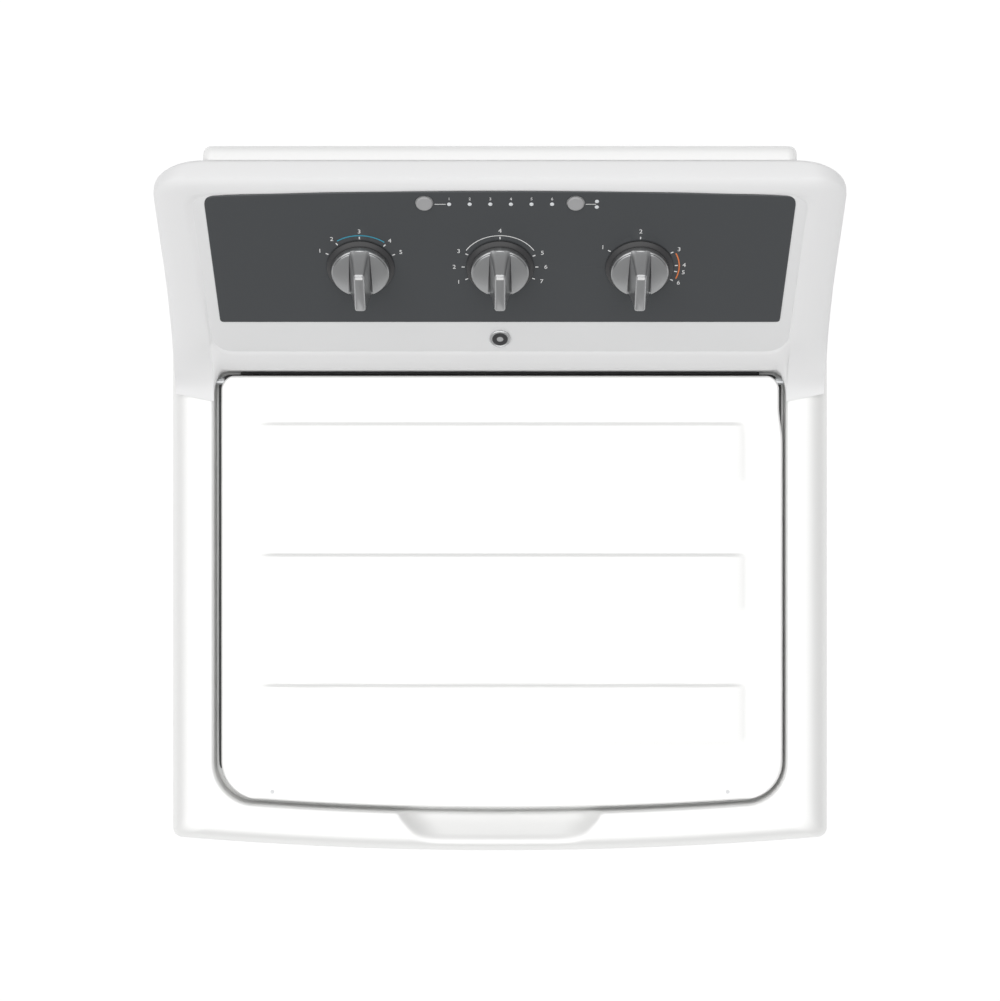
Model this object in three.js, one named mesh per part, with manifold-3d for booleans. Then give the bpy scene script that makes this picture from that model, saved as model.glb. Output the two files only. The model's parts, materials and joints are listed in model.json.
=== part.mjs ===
// Top load washing machine, in millimetres, +Z up.
// The origin is on the floor, under the middle of the machine. The front faces -Y, its right side +X.
import * as THREE from "three";
import { mergeVertices } from "three/addons/utils/BufferGeometryUtils.js";
import Module from "manifold-3d";

const wasm = await Module();
wasm.setup();

// ---- driving dimensions -------------------------------------------------------------------------
const WIDTH = 688; // across the top cover
const DEPTH = 717; // front bow to the back of the console's rear cover
const DECK_HEIGHT = 928; // floor to the lid's top face
const CONSOLE_RISE = 190; // deck to the console's top edge
const GAP = 0.3; // between two pieces that touch
const SHEET = 1.6; // steel sheet of the cabinet
const SHELL = 2.5; // moulded shells
const FRONT_BOW = 14; // how far the front stands out in the middle
const COVER_CORNER = 14; // front corner radius of the top cover
const COVER_BACK_CORNER = 4;
const SKIRT_DROP = 35; // the top cover's skirt below the deck
const RAIL = 45; // width of the rails beside the lid recess
const FRONT_RAIL = 41.5; // depth of the rail in front of the recess
const RECESS_DEPTH = 25; // the lid recess floor below the deck
const LID_GAP_SIDE = 5.5;
const LID_GAP_FRONT = 5;
const LID_GAP_BACK = 5;
const LID_BOW = 9;
const LID_THICKNESS = 21.5;
const HINGE_SETBACK = 5.5; // hinge axis in front of the lid's rear edge
const HINGE_DEPTH = 6; // hinge axis below the lid's top
const HINGE_PIN_RADIUS = 4;
const OPENING_MARGIN_SIDE = 64; // recess floor left beside the wash opening
const OPENING_MARGIN_FRONT = 47;
const OPENING_MARGIN_BACK = 35;
const OPENING_CORNER = 60;
const OPENING_LIP = 20; // height of the lip under the wash opening
const SCOOP_HALF_WIDTH = 103; // finger scoop in the front rail
const SCOOP_DEPTH = 19;
const CONSOLE_DEPTH = 198.5; // console lip to the housing's back
const CONSOLE_INSET = 5.5; // each end of the console inside the top cover's width
const REAR_COVER_THICKNESS = 14.7;
const REAR_COVER_MARGIN = 48; // each end of the rear cover inside the console's width
const WING_REACH = 33; // console wings in front of the console lip
const LIP_HEIGHT = 14;
const TOE_SETBACK = 13; // the lip's rounded toe
const TOE_HEIGHT = 35;
const BROW_DROP = 8; // the roll at the console's top edge
const CAP_DEPTH = 31.5;
const FACE_WALL = 6.5; // console face, thick enough to seat the panel
const PANEL_THICKNESS = 3;
const PANEL_LEDGE = 3; // width of the seat under the panel's edge
const PANEL_LOW_MARGIN = 48;
const PANEL_HIGH_MARGIN = 1.5;
const PANEL_SIDE_MARGIN = 52.5;
const PANEL_TAPER = 6; // how much wider the panel is at its top, each side
const KNOB_RADIUS = 29;
const KNOB_SKIRT = 5; // the dark skirt around a knob's disc
const KNOB_HEIGHT = 37;
const KNOB_SPACING = 140;
const KNOB_DROP = 10.5; // knob row below the panel's middle
const KNOB_HUB_RADIUS = 4;
const BUTTON_RADIUS = 9.5;
const BUTTON_OFFSET = 75.5;
const TOP_ROW_DROP = 14.5; // button and light row below the panel's top edge
const LIGHT_RADIUS = 2.1;
const LIGHT_PITCH = 20.3;
const BADGE_RADIUS = 11;
const BADGE_DROP = 23; // below the panel
const FOOT_RADIUS = 19;
const FOOT_INSET_X = 48;
const FOOT_INSET_Y = 48;
const STUD_RADIUS = 5;
const BASE_CLEARANCE = 28; // floor to the base frame
const BASE_HEIGHT = 40;
const BASE_FLANGE = 45;
const TUB_CLEARANCE = 44; // tub to the cabinet's inner faces
const TUB_WALL = 4;
const TUB_FLOOR_HEIGHT = 250; // floor to the tub's underside
const TUB_TOP_DROP = 78; // deck to the tub ring's top
const TUB_RING_HEIGHT = 15;
const TUB_RING_INNER_STEP = 55; // how far the ring reaches in from the tub wall
const TUB_HUB_BORE = 38.3;
const BASKET_CLEARANCE = 26;
const BASKET_WALL = 2;
const BASKET_FLOOR_RISE = 50;
const BALANCE_RING_HEIGHT = 35;
const BALANCE_RING_DEPTH = 43;
const SPIN_TUBE_RADIUS = 24;
const DRIVE_SHAFT_RADIUS = 12.4;
const AGITATOR_RADIUS = 150;
const AGITATOR_HEIGHT = 200;
const BARREL_RADIUS = 56;
const AUGER_RADIUS = 82;
const AUGER_TURNS = 2.25;
const CUP_HEIGHT = 62;
const CUP_DROP = 56; // lid's underside to the softener cup's top
const ROD_INSET = 74; // suspension rods from the cabinet's inner faces
const ROD_RADIUS = 5;
const ROD_BOTTOM = 300;
const EAR_HEIGHT = 380;
const EAR_THICKNESS = 20;
const SPRING_RADIUS = 18;
const SPRING_WIRE = 3;
const SPRING_TURNS = 5;
const PULLEY_HEIGHT = 16;
const PULLEY_LEVEL = 118;
const DRIVE_PULLEY_RADIUS = 85;
const MOTOR_PULLEY_RADIUS = 22;
const MOTOR_OFFSET = 170;
const MOTOR_RADIUS = 62;
const MOTOR_HEIGHT = 78;
const BRACKET_LEVEL = 150;
const BRACKET_THICKNESS = 4;
const PUMP_X = -190;
const PUMP_Y = -120;
const PUMP_RADIUS = 45;
const PUMP_HEIGHT = 79;
const HOSE_RADIUS = 14;
const STRIKE_Y = -180;
const STRIKE_INSET = 34; // lid strike from the recess edge
const STRIKE_SIZE = 20;

const ROUND = 28; // facets round the tub and basket
const CORE_ROUND = 20; // facets round the agitator and hub
const SMALL_ROUND = 12; // facets on small turned pieces

// ---- derived places -----------------------------------------------------------------------------
const COVER_X = WIDTH / 2;
const COVER_FRONT = -DEPTH / 2;
const BACK = DEPTH / 2;
const HOUSING_BACK = BACK - REAR_COVER_THICKNESS - GAP;
const PANEL_X = COVER_X - SHELL - 0.5; // outer face of the side panels
const PANEL_FRONT = COVER_FRONT + SHELL + 0.5;
const CABINET_BACK = HOUSING_BACK - SHELL - GAP;
const PANEL_SEAM = PANEL_FRONT + FRONT_BOW + COVER_CORNER; // where the front panel meets the sides
const PANEL_BOTTOM = BASE_CLEARANCE + 2;
const PANEL_TOP = DECK_HEIGHT - 13;
const INNER_X = PANEL_X - SHEET;
const INNER_FRONT = PANEL_FRONT + FRONT_BOW + SHEET;
const INNER_BACK = CABINET_BACK - SHEET;
const BASE_X = INNER_X - GAP;
const BASE_FRONT = PANEL_SEAM + 12;
const LIP_Y = HOUSING_BACK - CONSOLE_DEPTH;
const RECESS_X = COVER_X - RAIL;
const RECESS_FRONT = COVER_FRONT + FRONT_RAIL;
const RECESS_FLOOR = DECK_HEIGHT - RECESS_DEPTH;
const LID_X = RECESS_X - LID_GAP_SIDE;
const LID_FRONT = RECESS_FRONT + LID_GAP_FRONT;
const LID_BACK = LIP_Y - LID_GAP_BACK;
const LID_BOTTOM = DECK_HEIGHT - LID_THICKNESS;
const HINGE_Y = LID_BACK - HINGE_SETBACK;
const HINGE_Z = DECK_HEIGHT - HINGE_DEPTH;
const OPENING_X = RECESS_X - OPENING_MARGIN_SIDE;
const OPENING_FRONT = RECESS_FRONT + OPENING_MARGIN_FRONT;
const OPENING_BACK = LIP_Y - OPENING_MARGIN_BACK;
const CONSOLE_X = COVER_X - CONSOLE_INSET;
const CONSOLE_BASE = DECK_HEIGHT + GAP;
const TOE = new THREE.Vector2(LIP_Y + TOE_SETBACK, DECK_HEIGHT + TOE_HEIGHT);
const BROW = new THREE.Vector2(HOUSING_BACK - CAP_DEPTH, DECK_HEIGHT + CONSOLE_RISE - BROW_DROP);
const FACE_ANGLE = Math.atan2(BROW.y - TOE.y, BROW.x - TOE.x);
const PANEL_LENGTH = TOE.distanceTo(BROW) - PANEL_LOW_MARGIN - PANEL_HIGH_MARGIN;
const PANEL_CENTRE = TOE.clone().lerp(BROW, (PANEL_LOW_MARGIN + PANEL_LENGTH / 2) / TOE.distanceTo(BROW));
const PANEL_HALF = CONSOLE_X - PANEL_SIDE_MARGIN;
const TOP_ROW = PANEL_LENGTH / 2 - TOP_ROW_DROP;
const TUB_R = Math.min(INNER_X, -INNER_FRONT, INNER_BACK) - TUB_CLEARANCE;
const TUB_TOP = DECK_HEIGHT - TUB_TOP_DROP;
const TUB_RIM = TUB_TOP - TUB_RING_HEIGHT;
const TUB_RING_INNER = TUB_R - TUB_RING_INNER_STEP;
const BASKET_R = TUB_R - TUB_WALL - BASKET_CLEARANCE;
const BASKET_FLOOR = TUB_FLOOR_HEIGHT + BASKET_FLOOR_RISE;
const BASKET_RIM = TUB_RIM - 45;
const BALANCE_INNER = BASKET_R - BALANCE_RING_DEPTH;
const HUB_TOP = BASKET_FLOOR - GAP;
const AGITATOR_BOTTOM = BASKET_FLOOR + 6;
const AGITATOR_TOP = AGITATOR_BOTTOM + AGITATOR_HEIGHT;
const CUP_TOP = LID_BOTTOM - CUP_DROP;
const AUGER_TOP = CUP_TOP - CUP_HEIGHT - GAP;
const ROD_X = INNER_X - ROD_INSET;
const ROD_Y = Math.min(-INNER_FRONT, INNER_BACK) - ROD_INSET;
const GUSSET_LEVEL = TUB_TOP + 8;
const SPRING_SEAT = ROD_BOTTOM + 12;
const FOOT_X = BASE_X - FOOT_INSET_X;
const FOOT_FRONT = BASE_FRONT + FOOT_INSET_Y;
const FOOT_BACK = INNER_BACK - FOOT_INSET_Y;
const BRACKET_TOP = BRACKET_LEVEL + BRACKET_THICKNESS;
const MOTOR_TOP = BRACKET_TOP + GAP + MOTOR_HEIGHT;
const PUMP_BASE = BASE_CLEARANCE + 3 + GAP;
const PUMP_TOP = PUMP_BASE + PUMP_HEIGHT;
const SUMP_HOSE_BOTTOM = PUMP_TOP + 40;
const SPIGOT_BOTTOM = TUB_FLOOR_HEIGHT - 14;
const STRIKE_X = RECESS_X - STRIKE_INSET;

// ---- finishes -----------------------------------------------------------------------------------
function finish(color, roughness, metalness = 0) {
  return new THREE.MeshStandardMaterial({ color, roughness, metalness });
}
const enamel = finish(0xf4f4f3, 0.25);
const whitePlastic = finish(0xf1f1f0, 0.35);
const greyPlastic = finish(0xa9abad, 0.5);
const darkPlastic = finish(0x3f4042, 0.3);
const blackPlastic = finish(0x1d1e20, 0.5);
const silver = finish(0xc6c8ca, 0.3, 0.7);
const lightCap = finish(0xd9dadb, 0.4);
const stainless = finish(0xc2c4c6, 0.28, 1);
const zinc = finish(0xa6a8ab, 0.4, 1);
const rubber = finish(0x202022, 0.8);
const copperWound = finish(0x6b6f73, 0.45, 0.6);
const boardGreen = finish(0x2f5b40, 0.5);
const agitatorPlastic = finish(0xdfe2e6, 0.4);

// ---- solids -------------------------------------------------------------------------------------
// A closed geometry as a solid, with its faces pointing out.
function solid(geometry) {
  const bare = (geometry.index ? geometry.toNonIndexed() : geometry.clone());
  bare.deleteAttribute("normal");
  bare.deleteAttribute("uv");
  const merged = mergeVertices(bare, 1e-4);
  const vertProperties = new Float32Array(merged.attributes.position.array);
  const triVerts = new Uint32Array(merged.index.array);
  const made = new wasm.Manifold(new wasm.Mesh({ numProp: 3, vertProperties, triVerts }));
  if (made.volume() >= 0) return made;
  for (let i = 0; i < triVerts.length; i += 3) triVerts.subarray(i, i + 3).reverse();
  return new wasm.Manifold(new wasm.Mesh({ numProp: 3, vertProperties, triVerts }));
}

// A solid as a geometry to draw.
function geometryOf(shape) {
  const mesh = shape.getMesh();
  const geometry = new THREE.BufferGeometry();
  geometry.setAttribute("position", new THREE.BufferAttribute(mesh.vertProperties, 3));
  geometry.setIndex(new THREE.BufferAttribute(mesh.triVerts, 1));
  const flat = geometry.toNonIndexed();
  flat.computeVertexNormals();
  return flat;
}

function join(...shapes) {
  return shapes.reduce((whole, shape) => whole.add(shape));
}

function cut(whole, ...shapes) {
  return shapes.reduce((left, shape) => left.subtract(shape), whole);
}

function box(x0, x1, y0, y1, z0, z1) {
  const geometry = new THREE.BoxGeometry(x1 - x0, y1 - y0, z1 - z0);
  return solid(geometry.translate((x0 + x1) / 2, (y0 + y1) / 2, (z0 + z1) / 2));
}

// An outline in X and Y, raised from z0 to z1.
function prism(outline, z0, z1, curveSegments = 4) {
  const geometry = new THREE.ExtrudeGeometry(outline, { depth: z1 - z0, bevelEnabled: false, curveSegments });
  return solid(geometry.translate(0, 0, z0));
}

// A profile in Y and Z, carried along X from x0 to x1.
function sideways(profile, x0, x1, curveSegments = 5) {
  const geometry = new THREE.ExtrudeGeometry(profile, { depth: x1 - x0, bevelEnabled: false, curveSegments });
  const turn = new THREE.Matrix4().makeBasis(
    new THREE.Vector3(0, 1, 0), new THREE.Vector3(0, 0, 1), new THREE.Vector3(1, 0, 0));
  return solid(geometry.applyMatrix4(turn).translate(x0, 0, 0));
}

// An outline in X and Z, carried along Y from y0 to y1.
function backwards(outline, y0, y1, curveSegments = 4) {
  const geometry = new THREE.ExtrudeGeometry(outline, { depth: y1 - y0, bevelEnabled: false, curveSegments });
  const turn = new THREE.Matrix4().makeBasis(
    new THREE.Vector3(1, 0, 0), new THREE.Vector3(0, 0, 1), new THREE.Vector3(0, -1, 0));
  return solid(geometry.applyMatrix4(turn).translate(0, y1, 0));
}

// A closed profile of [radius, height] pairs turned about a vertical axis at (x, y).
function turned(profile, segments = SMALL_ROUND, x = 0, y = 0) {
  const points = profile.map(([r, z]) => new THREE.Vector2(r, z));
  const closes = profile[0][0] > 0 || profile[profile.length - 1][0] > 0;
  if (closes) points.push(points[0].clone());
  const geometry = new THREE.LatheGeometry(points, segments);
  return solid(geometry.rotateX(Math.PI / 2).translate(x, y, 0));
}

function rod(radius, z0, z1, x = 0, y = 0, segments = SMALL_ROUND) {
  return turned([[0, z0], [radius, z0], [radius, z1], [0, z1]], segments, x, y);
}

function ring(inner, outer, z0, z1, x = 0, y = 0, segments = SMALL_ROUND) {
  return turned([[inner, z0], [outer, z0], [outer, z1], [inner, z1]], segments, x, y);
}

// A round bar along X or Y.
function barX(radius, x0, x1, y, z, segments = SMALL_ROUND) {
  const geometry = new THREE.CylinderGeometry(radius, radius, x1 - x0, segments);
  return solid(geometry.rotateZ(Math.PI / 2).translate((x0 + x1) / 2, y, z));
}

function barY(radius, y0, y1, x, z, segments = SMALL_ROUND) {
  const geometry = new THREE.CylinderGeometry(radius, radius, y1 - y0, segments);
  return solid(geometry.translate(x, (y0 + y1) / 2, z));
}

// A rectangle with rounded corners.
function roundedRect(x0, x1, y0, y1, r) {
  const shape = new THREE.Shape();
  shape.moveTo(x0 + r, y0);
  shape.lineTo(x1 - r, y0);
  shape.absarc(x1 - r, y0 + r, r, -Math.PI / 2, 0);
  shape.lineTo(x1, y1 - r);
  shape.absarc(x1 - r, y1 - r, r, 0, Math.PI / 2);
  shape.lineTo(x0 + r, y1);
  shape.absarc(x0 + r, y1 - r, r, Math.PI / 2, Math.PI);
  shape.lineTo(x0, y0 + r);
  shape.absarc(x0 + r, y0 + r, r, Math.PI, 1.5 * Math.PI);
  return shape;
}

// A rectangle whose front edge bows out, with the front at its middle.
function bowedRect(halfWidth, front, back, bow, frontCorner, backCorner) {
  const corner = front + bow;
  const shape = new THREE.Shape();
  shape.moveTo(-halfWidth + frontCorner, corner);
  shape.quadraticCurveTo(0, front - bow, halfWidth - frontCorner, corner);
  shape.quadraticCurveTo(halfWidth, corner, halfWidth, corner + frontCorner);
  shape.lineTo(halfWidth, back - backCorner);
  shape.quadraticCurveTo(halfWidth, back, halfWidth - backCorner, back);
  shape.lineTo(-halfWidth + backCorner, back);
  shape.quadraticCurveTo(-halfWidth, back, -halfWidth, back - backCorner);
  shape.lineTo(-halfWidth, corner + frontCorner);
  shape.quadraticCurveTo(-halfWidth, corner, -halfWidth + frontCorner, corner);
  return shape;
}

function polygon(points) {
  return new THREE.Shape(points.map(([x, y]) => new THREE.Vector2(x, y)));
}

// ---- cabinet ------------------------------------------------------------------------------------
function footPlaces() {
  return [
    ["front_left", -FOOT_X, FOOT_FRONT],
    ["front_right", FOOT_X, FOOT_FRONT],
    ["rear_left", -FOOT_X, FOOT_BACK],
    ["rear_right", FOOT_X, FOOT_BACK],
  ];
}

// A folded steel ring with corner plates, a nut boss over each foot and a shelf for the pump.
function baseFrame() {
  const top = BASE_CLEARANCE + BASE_HEIGHT;
  const back = INNER_BACK - GAP;
  const wall = 3;
  const hole = BASE_FLANGE;
  let frame = cut(
    box(-BASE_X, BASE_X, BASE_FRONT, back, BASE_CLEARANCE, top),
    box(-BASE_X + wall, BASE_X - wall, BASE_FRONT + wall, back - wall, BASE_CLEARANCE + wall, top + 1),
    box(-BASE_X + hole, BASE_X - hole, BASE_FRONT + hole, back - hole, BASE_CLEARANCE - 1, top),
  );
  const shelf = box(
    -BASE_X + 1, PUMP_X + PUMP_RADIUS + 15, PUMP_Y - PUMP_RADIUS - 15, PUMP_Y + PUMP_RADIUS + 15,
    BASE_CLEARANCE, BASE_CLEARANCE + wall);
  frame = frame.add(shelf);
  for (const [, x, y] of footPlaces()) {
    const side = Math.sign(x);
    const end = y < 0 ? BASE_FRONT : back;
    const inward = y < 0 ? 1 : -1;
    const plate = polygon([
      [side * (BASE_X - 1), end + inward],
      [side * (BASE_X - 1), end + inward * 2.6 * BASE_FLANGE],
      [side * (BASE_X - 2.6 * BASE_FLANGE), end + inward],
    ]);
    frame = frame.add(prism(plate, BASE_CLEARANCE, BASE_CLEARANCE + wall));
    frame = frame.add(rod(STUD_RADIUS + 7, BASE_CLEARANCE, BASE_CLEARANCE + 22, x, y));
    frame = frame.subtract(rod(STUD_RADIUS + 0.5, BASE_CLEARANCE - 1, top, x, y));
  }
  return frame;
}

function levellingFoot(x, y) {
  const profile = [
    [0, 0], [FOOT_RADIUS, 0], [FOOT_RADIUS, 6], [FOOT_RADIUS - 5, 14], [STUD_RADIUS, 14],
    [STUD_RADIUS, BASE_CLEARANCE + 34], [0, BASE_CLEARANCE + 34],
  ];
  return turned(profile, SMALL_ROUND, x, y);
}

// The bowed front sheet, with side returns and a bottom flange that meets the base frame.
function frontPanel() {
  const back = BASE_FRONT - GAP;
  const returnX = INNER_X - GAP;
  const corner = COVER_CORNER - SHELL - 0.5;
  const outer = bowedRect(PANEL_X, PANEL_FRONT, back, FRONT_BOW, corner, 0.5);
  const inner = bowedRect(returnX - SHEET, PANEL_FRONT + SHEET, back + 20, FRONT_BOW, corner - SHEET, 0.5);
  const shell = cut(prism(outer, PANEL_BOTTOM, PANEL_TOP), prism(inner, PANEL_BOTTOM + SHEET, PANEL_TOP + 1));
  const beside = (side) => {
    const x0 = Math.min(side * returnX, side * (PANEL_X + 5));
    const x1 = Math.max(side * returnX, side * (PANEL_X + 5));
    return box(x0, x1, PANEL_SEAM, back + 1, PANEL_BOTTOM - 1, PANEL_TOP + 1);
  };
  return cut(shell, beside(-1), beside(1));
}

// A flat side sheet with two gussets near its top that carry the suspension rods.
function sidePanel(side) {
  const front = PANEL_SEAM + GAP;
  const back = INNER_BACK - GAP;
  const outerX = side * PANEL_X;
  const innerX = side * INNER_X;
  let panel = box(
    Math.min(outerX, innerX), Math.max(outerX, innerX), front, back, PANEL_BOTTOM, PANEL_TOP);
  for (const end of [-1, 1]) {
    const y = end * ROD_Y;
    const gusset = polygon([
      [innerX, y - 40], [innerX, y + 40], [side * (ROD_X - 16), y + 18], [side * (ROD_X - 16), y - 18],
    ]);
    panel = panel.add(prism(gusset, GUSSET_LEVEL, GUSSET_LEVEL + 3));
    panel = panel.subtract(rod(ROD_RADIUS + 1, GUSSET_LEVEL - 5, GUSSET_LEVEL + 5, side * ROD_X, y));
  }
  return panel;
}

// Back sheet, with the two water inlet holes, the drain outlet spigot and the cord gland.
const INLET_SPREAD = 26;
const INLET_LEVEL = TUB_TOP + 26;
const INLET_RADIUS = 13;
const DRAIN_EXIT = { x: -(INNER_X - 36), z: TUB_TOP - 35 };
const GLAND = { x: INNER_X - 70, z: TUB_TOP - 10 };
function rearPanel() {
  const reach = BACK - 4;
  const sheet = box(-PANEL_X + 2, PANEL_X - 2, INNER_BACK, CABINET_BACK, PANEL_BOTTOM, PANEL_TOP);
  const drain = barY(HOSE_RADIUS + 3, INNER_BACK, reach, DRAIN_EXIT.x, DRAIN_EXIT.z);
  const gland = barY(12, INNER_BACK, CABINET_BACK + 8, GLAND.x, GLAND.z);
  const inlets = [-1, 1].map((side) =>
    barY(INLET_RADIUS + 1, INNER_BACK - 5, reach, side * INLET_SPREAD, INLET_LEVEL));
  return cut(
    join(sheet, drain, gland),
    barY(HOSE_RADIUS - 2, INNER_BACK - 5, reach + 5, DRAIN_EXIT.x, DRAIN_EXIT.z),
    barY(4.5, INNER_BACK - 5, reach, GLAND.x, GLAND.z),
    ...inlets,
  );
}

// ---- top cover and lid --------------------------------------------------------------------------
function coverOutline(inset) {
  return bowedRect(
    COVER_X - inset, COVER_FRONT + inset, HOUSING_BACK - inset, FRONT_BOW,
    COVER_CORNER - inset, COVER_BACK_CORNER - inset);
}

function recessOutline(outset) {
  return bowedRect(
    RECESS_X + outset, RECESS_FRONT - outset, LIP_Y + outset, LID_BOW, 44 + outset, 16 + outset);
}

function openingOutline(outset) {
  return roundedRect(
    -OPENING_X - outset, OPENING_X + outset, OPENING_FRONT - outset, OPENING_BACK + outset,
    OPENING_CORNER + outset);
}

// The scoop's floor falls from the cover's front edge to the recess, and its ends draw in.
function scoopCut(drop) {
  const nearFront = COVER_FRONT + 6 - drop;
  const inside = RECESS_FRONT + 2;
  const slope = polygon([
    [nearFront, DECK_HEIGHT - 1 - drop],
    [inside, DECK_HEIGHT - SCOOP_DEPTH - drop],
    [inside, DECK_HEIGHT + 5],
    [nearFront, DECK_HEIGHT + 5],
  ]);
  const half = SCOOP_HALF_WIDTH + drop;
  const plan = polygon([[-half + 30, nearFront], [half - 30, nearFront], [half, inside], [-half, inside]]);
  return prism(plan, RECESS_FLOOR - 10, DECK_HEIGHT + 5).intersect(sideways(slope, -half, half));
}

function topCover() {
  const skirtBottom = DECK_HEIGHT - SKIRT_DROP;
  const outer = prism(coverOutline(0), skirtBottom, DECK_HEIGHT);
  const under = cut(
    prism(coverOutline(SHELL), skirtBottom - 1, DECK_HEIGHT - SHELL),
    prism(recessOutline(SHELL), RECESS_FLOOR - SHELL, DECK_HEIGHT),
    scoopCut(SHELL),
  );
  const lip = cut(
    prism(openingOutline(SHELL), RECESS_FLOOR - OPENING_LIP, RECESS_FLOOR),
    prism(openingOutline(0), RECESS_FLOOR - OPENING_LIP - 1, RECESS_FLOOR + 1),
  );
  const recess = prism(recessOutline(0), RECESS_FLOOR, DECK_HEIGHT + 1);
  const opening = prism(openingOutline(0), skirtBottom - 5, DECK_HEIGHT);
  const slot = box(
    STRIKE_X - 7, STRIKE_X + 7, STRIKE_Y - STRIKE_SIZE / 2 - 6, STRIKE_Y + STRIKE_SIZE / 2 + 6,
    skirtBottom, RECESS_FLOOR + 1);
  const pinHoles = barX(HINGE_PIN_RADIUS + GAP, -RECESS_X - 8, RECESS_X + 8, HINGE_Y, HINGE_Z);
  return cut(join(cut(outer, under), lip), recess, opening, scoopCut(0), slot, pinHoles);
}

function lidOutline(inset) {
  return bowedRect(LID_X - inset, LID_FRONT + inset, LID_BACK - inset, LID_BOW, 40 - inset, 14 - inset);
}

// The lid's outer pan, with three low raised pads across its top.
const LID_PAD_HEIGHT = 1.2;
function lidOuter() {
  const pan = cut(
    prism(lidOutline(0), LID_BOTTOM, DECK_HEIGHT),
    prism(lidOutline(SHELL), LID_BOTTOM - 1, DECK_HEIGHT - SHELL),
    barX(HINGE_PIN_RADIUS + 0.6, -LID_X - 1, LID_X + 1, HINGE_Y, HINGE_Z),
  );
  const length = LID_BACK - LID_FRONT;
  const pads = [0.13, 0.433, 0.734].map((start) => {
    const back = LID_BACK - start * length;
    return prism(
      roundedRect(-LID_X + 43, LID_X - 43, back - 0.14 * length, back, 8),
      DECK_HEIGHT - 1, DECK_HEIGHT + LID_PAD_HEIGHT, 2);
  });
  return join(pan, ...pads);
}

function lidInner() {
  const inset = SHELL + GAP;
  return cut(
    prism(lidOutline(inset + 1.5), LID_BOTTOM + 1, DECK_HEIGHT - SHELL - GAP),
    prism(lidOutline(inset + 4), LID_BOTTOM + 3.5, DECK_HEIGHT),
    box(-LID_X, -LID_X + 14, HINGE_Y - 8, LID_BACK + 1, LID_BOTTOM + 4, DECK_HEIGHT),
    box(LID_X - 14, LID_X, HINGE_Y - 8, LID_BACK + 1, LID_BOTTOM + 4, DECK_HEIGHT),
  );
}

function hingePin(side) {
  const inner = side * (LID_X - 5);
  const outer = side * (RECESS_X + 6);
  return barX(HINGE_PIN_RADIUS, Math.min(inner, outer), Math.max(inner, outer), HINGE_Y, HINGE_Z);
}

// A hook plate under the lid, with a window for the lock bolt.
const STRIKE_THICKNESS = 6;
const STRIKE_DROP = 22;
const WINDOW_LEVEL = LID_BOTTOM - STRIKE_DROP + 8;
function lidStrike() {
  const half = STRIKE_SIZE / 2;
  const top = LID_BOTTOM + 1 - GAP;
  const plate = box(
    STRIKE_X - STRIKE_THICKNESS / 2, STRIKE_X + STRIKE_THICKNESS / 2, STRIKE_Y - half, STRIKE_Y + half,
    LID_BOTTOM - STRIKE_DROP, top);
  const pad = box(STRIKE_X - 11, STRIKE_X + 11, STRIKE_Y - half, STRIKE_Y + half, top - 2, top);
  const window = box(STRIKE_X - 9, STRIKE_X + 9, STRIKE_Y - 5, STRIKE_Y + 5, WINDOW_LEVEL - 4, WINDOW_LEVEL + 4);
  return cut(join(plate, pad), window);
}

const LOCK_FRONT = STRIKE_Y - 50;
const LOCK_BACK = STRIKE_Y + 22;
const LOCK_DEPTH = 32;
function lidLock() {
  const top = RECESS_FLOOR - SHELL - GAP;
  const body = box(STRIKE_X - 16, STRIKE_X + 30, LOCK_FRONT, LOCK_BACK, top - LOCK_DEPTH, top);
  const well = box(
    STRIKE_X - 8, STRIKE_X + 7, STRIKE_Y - STRIKE_SIZE / 2 - 7, STRIKE_Y + STRIKE_SIZE / 2 + 7,
    LID_BOTTOM - STRIKE_DROP - 3, top + 1);
  const channel = box(
    STRIKE_X, STRIKE_X + 26, STRIKE_Y - 3.5, STRIKE_Y + 3.5, WINDOW_LEVEL - 3.3, WINDOW_LEVEL + 3.3);
  return cut(body, well, channel);
}

function lockBolt() {
  const tip = STRIKE_X + STRIKE_THICKNESS / 2 + 4;
  return box(tip, tip + 14, STRIKE_Y - 3, STRIKE_Y + 3, WINDOW_LEVEL - 2.8, WINDOW_LEVEL + 2.8);
}

// ---- water way ----------------------------------------------------------------------------------
const VALVE_HALF = 45;
const VALVE_BOTTOM = TUB_TOP + 18;
function waterValve() {
  const block = box(
    -VALVE_HALF, VALVE_HALF, INNER_BACK - 26, INNER_BACK - GAP, VALVE_BOTTOM, INLET_LEVEL + 14);
  const inlets = [-1, 1].map((side) =>
    barY(INLET_RADIUS, INNER_BACK - 2, BACK - 4, side * INLET_SPREAD, INLET_LEVEL));
  const bores = [-1, 1].map((side) =>
    barY(INLET_RADIUS - 4, INNER_BACK, BACK, side * INLET_SPREAD, INLET_LEVEL));
  return cut(join(block, ...inlets), ...bores);
}

// A flat duct from the valve to a spout over the basket.
function fillNozzle() {
  const top = RECESS_FLOOR - SHELL - GAP;
  const back = INNER_BACK - 26 - GAP;
  const front = OPENING_BACK + SHELL + 3;
  const duct = box(-28, 28, front, back, top - 14, top);
  const spout = box(-28, 28, front, front + 32, top - 22, top - 13);
  const way = box(-25, 25, front + 3, back - 10, top - 11, top - 3);
  const mouth = box(-25, 25, front + 3, front + 29, top - 23, top - 10);
  return cut(join(duct, spout), way, mouth);
}

// ---- console ------------------------------------------------------------------------------------
function consoleProfile(toe) {
  const shape = new THREE.Shape();
  shape.moveTo(HOUSING_BACK, CONSOLE_BASE);
  shape.lineTo(HOUSING_BACK, BROW.y + BROW_DROP / 2);
  shape.lineTo(BROW.x + 12, BROW.y + BROW_DROP);
  shape.quadraticCurveTo(BROW.x + 5, BROW.y + BROW_DROP, BROW.x, BROW.y);
  shape.lineTo(TOE.x, TOE.y);
  toe(shape);
  shape.closePath();
  return shape;
}

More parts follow.
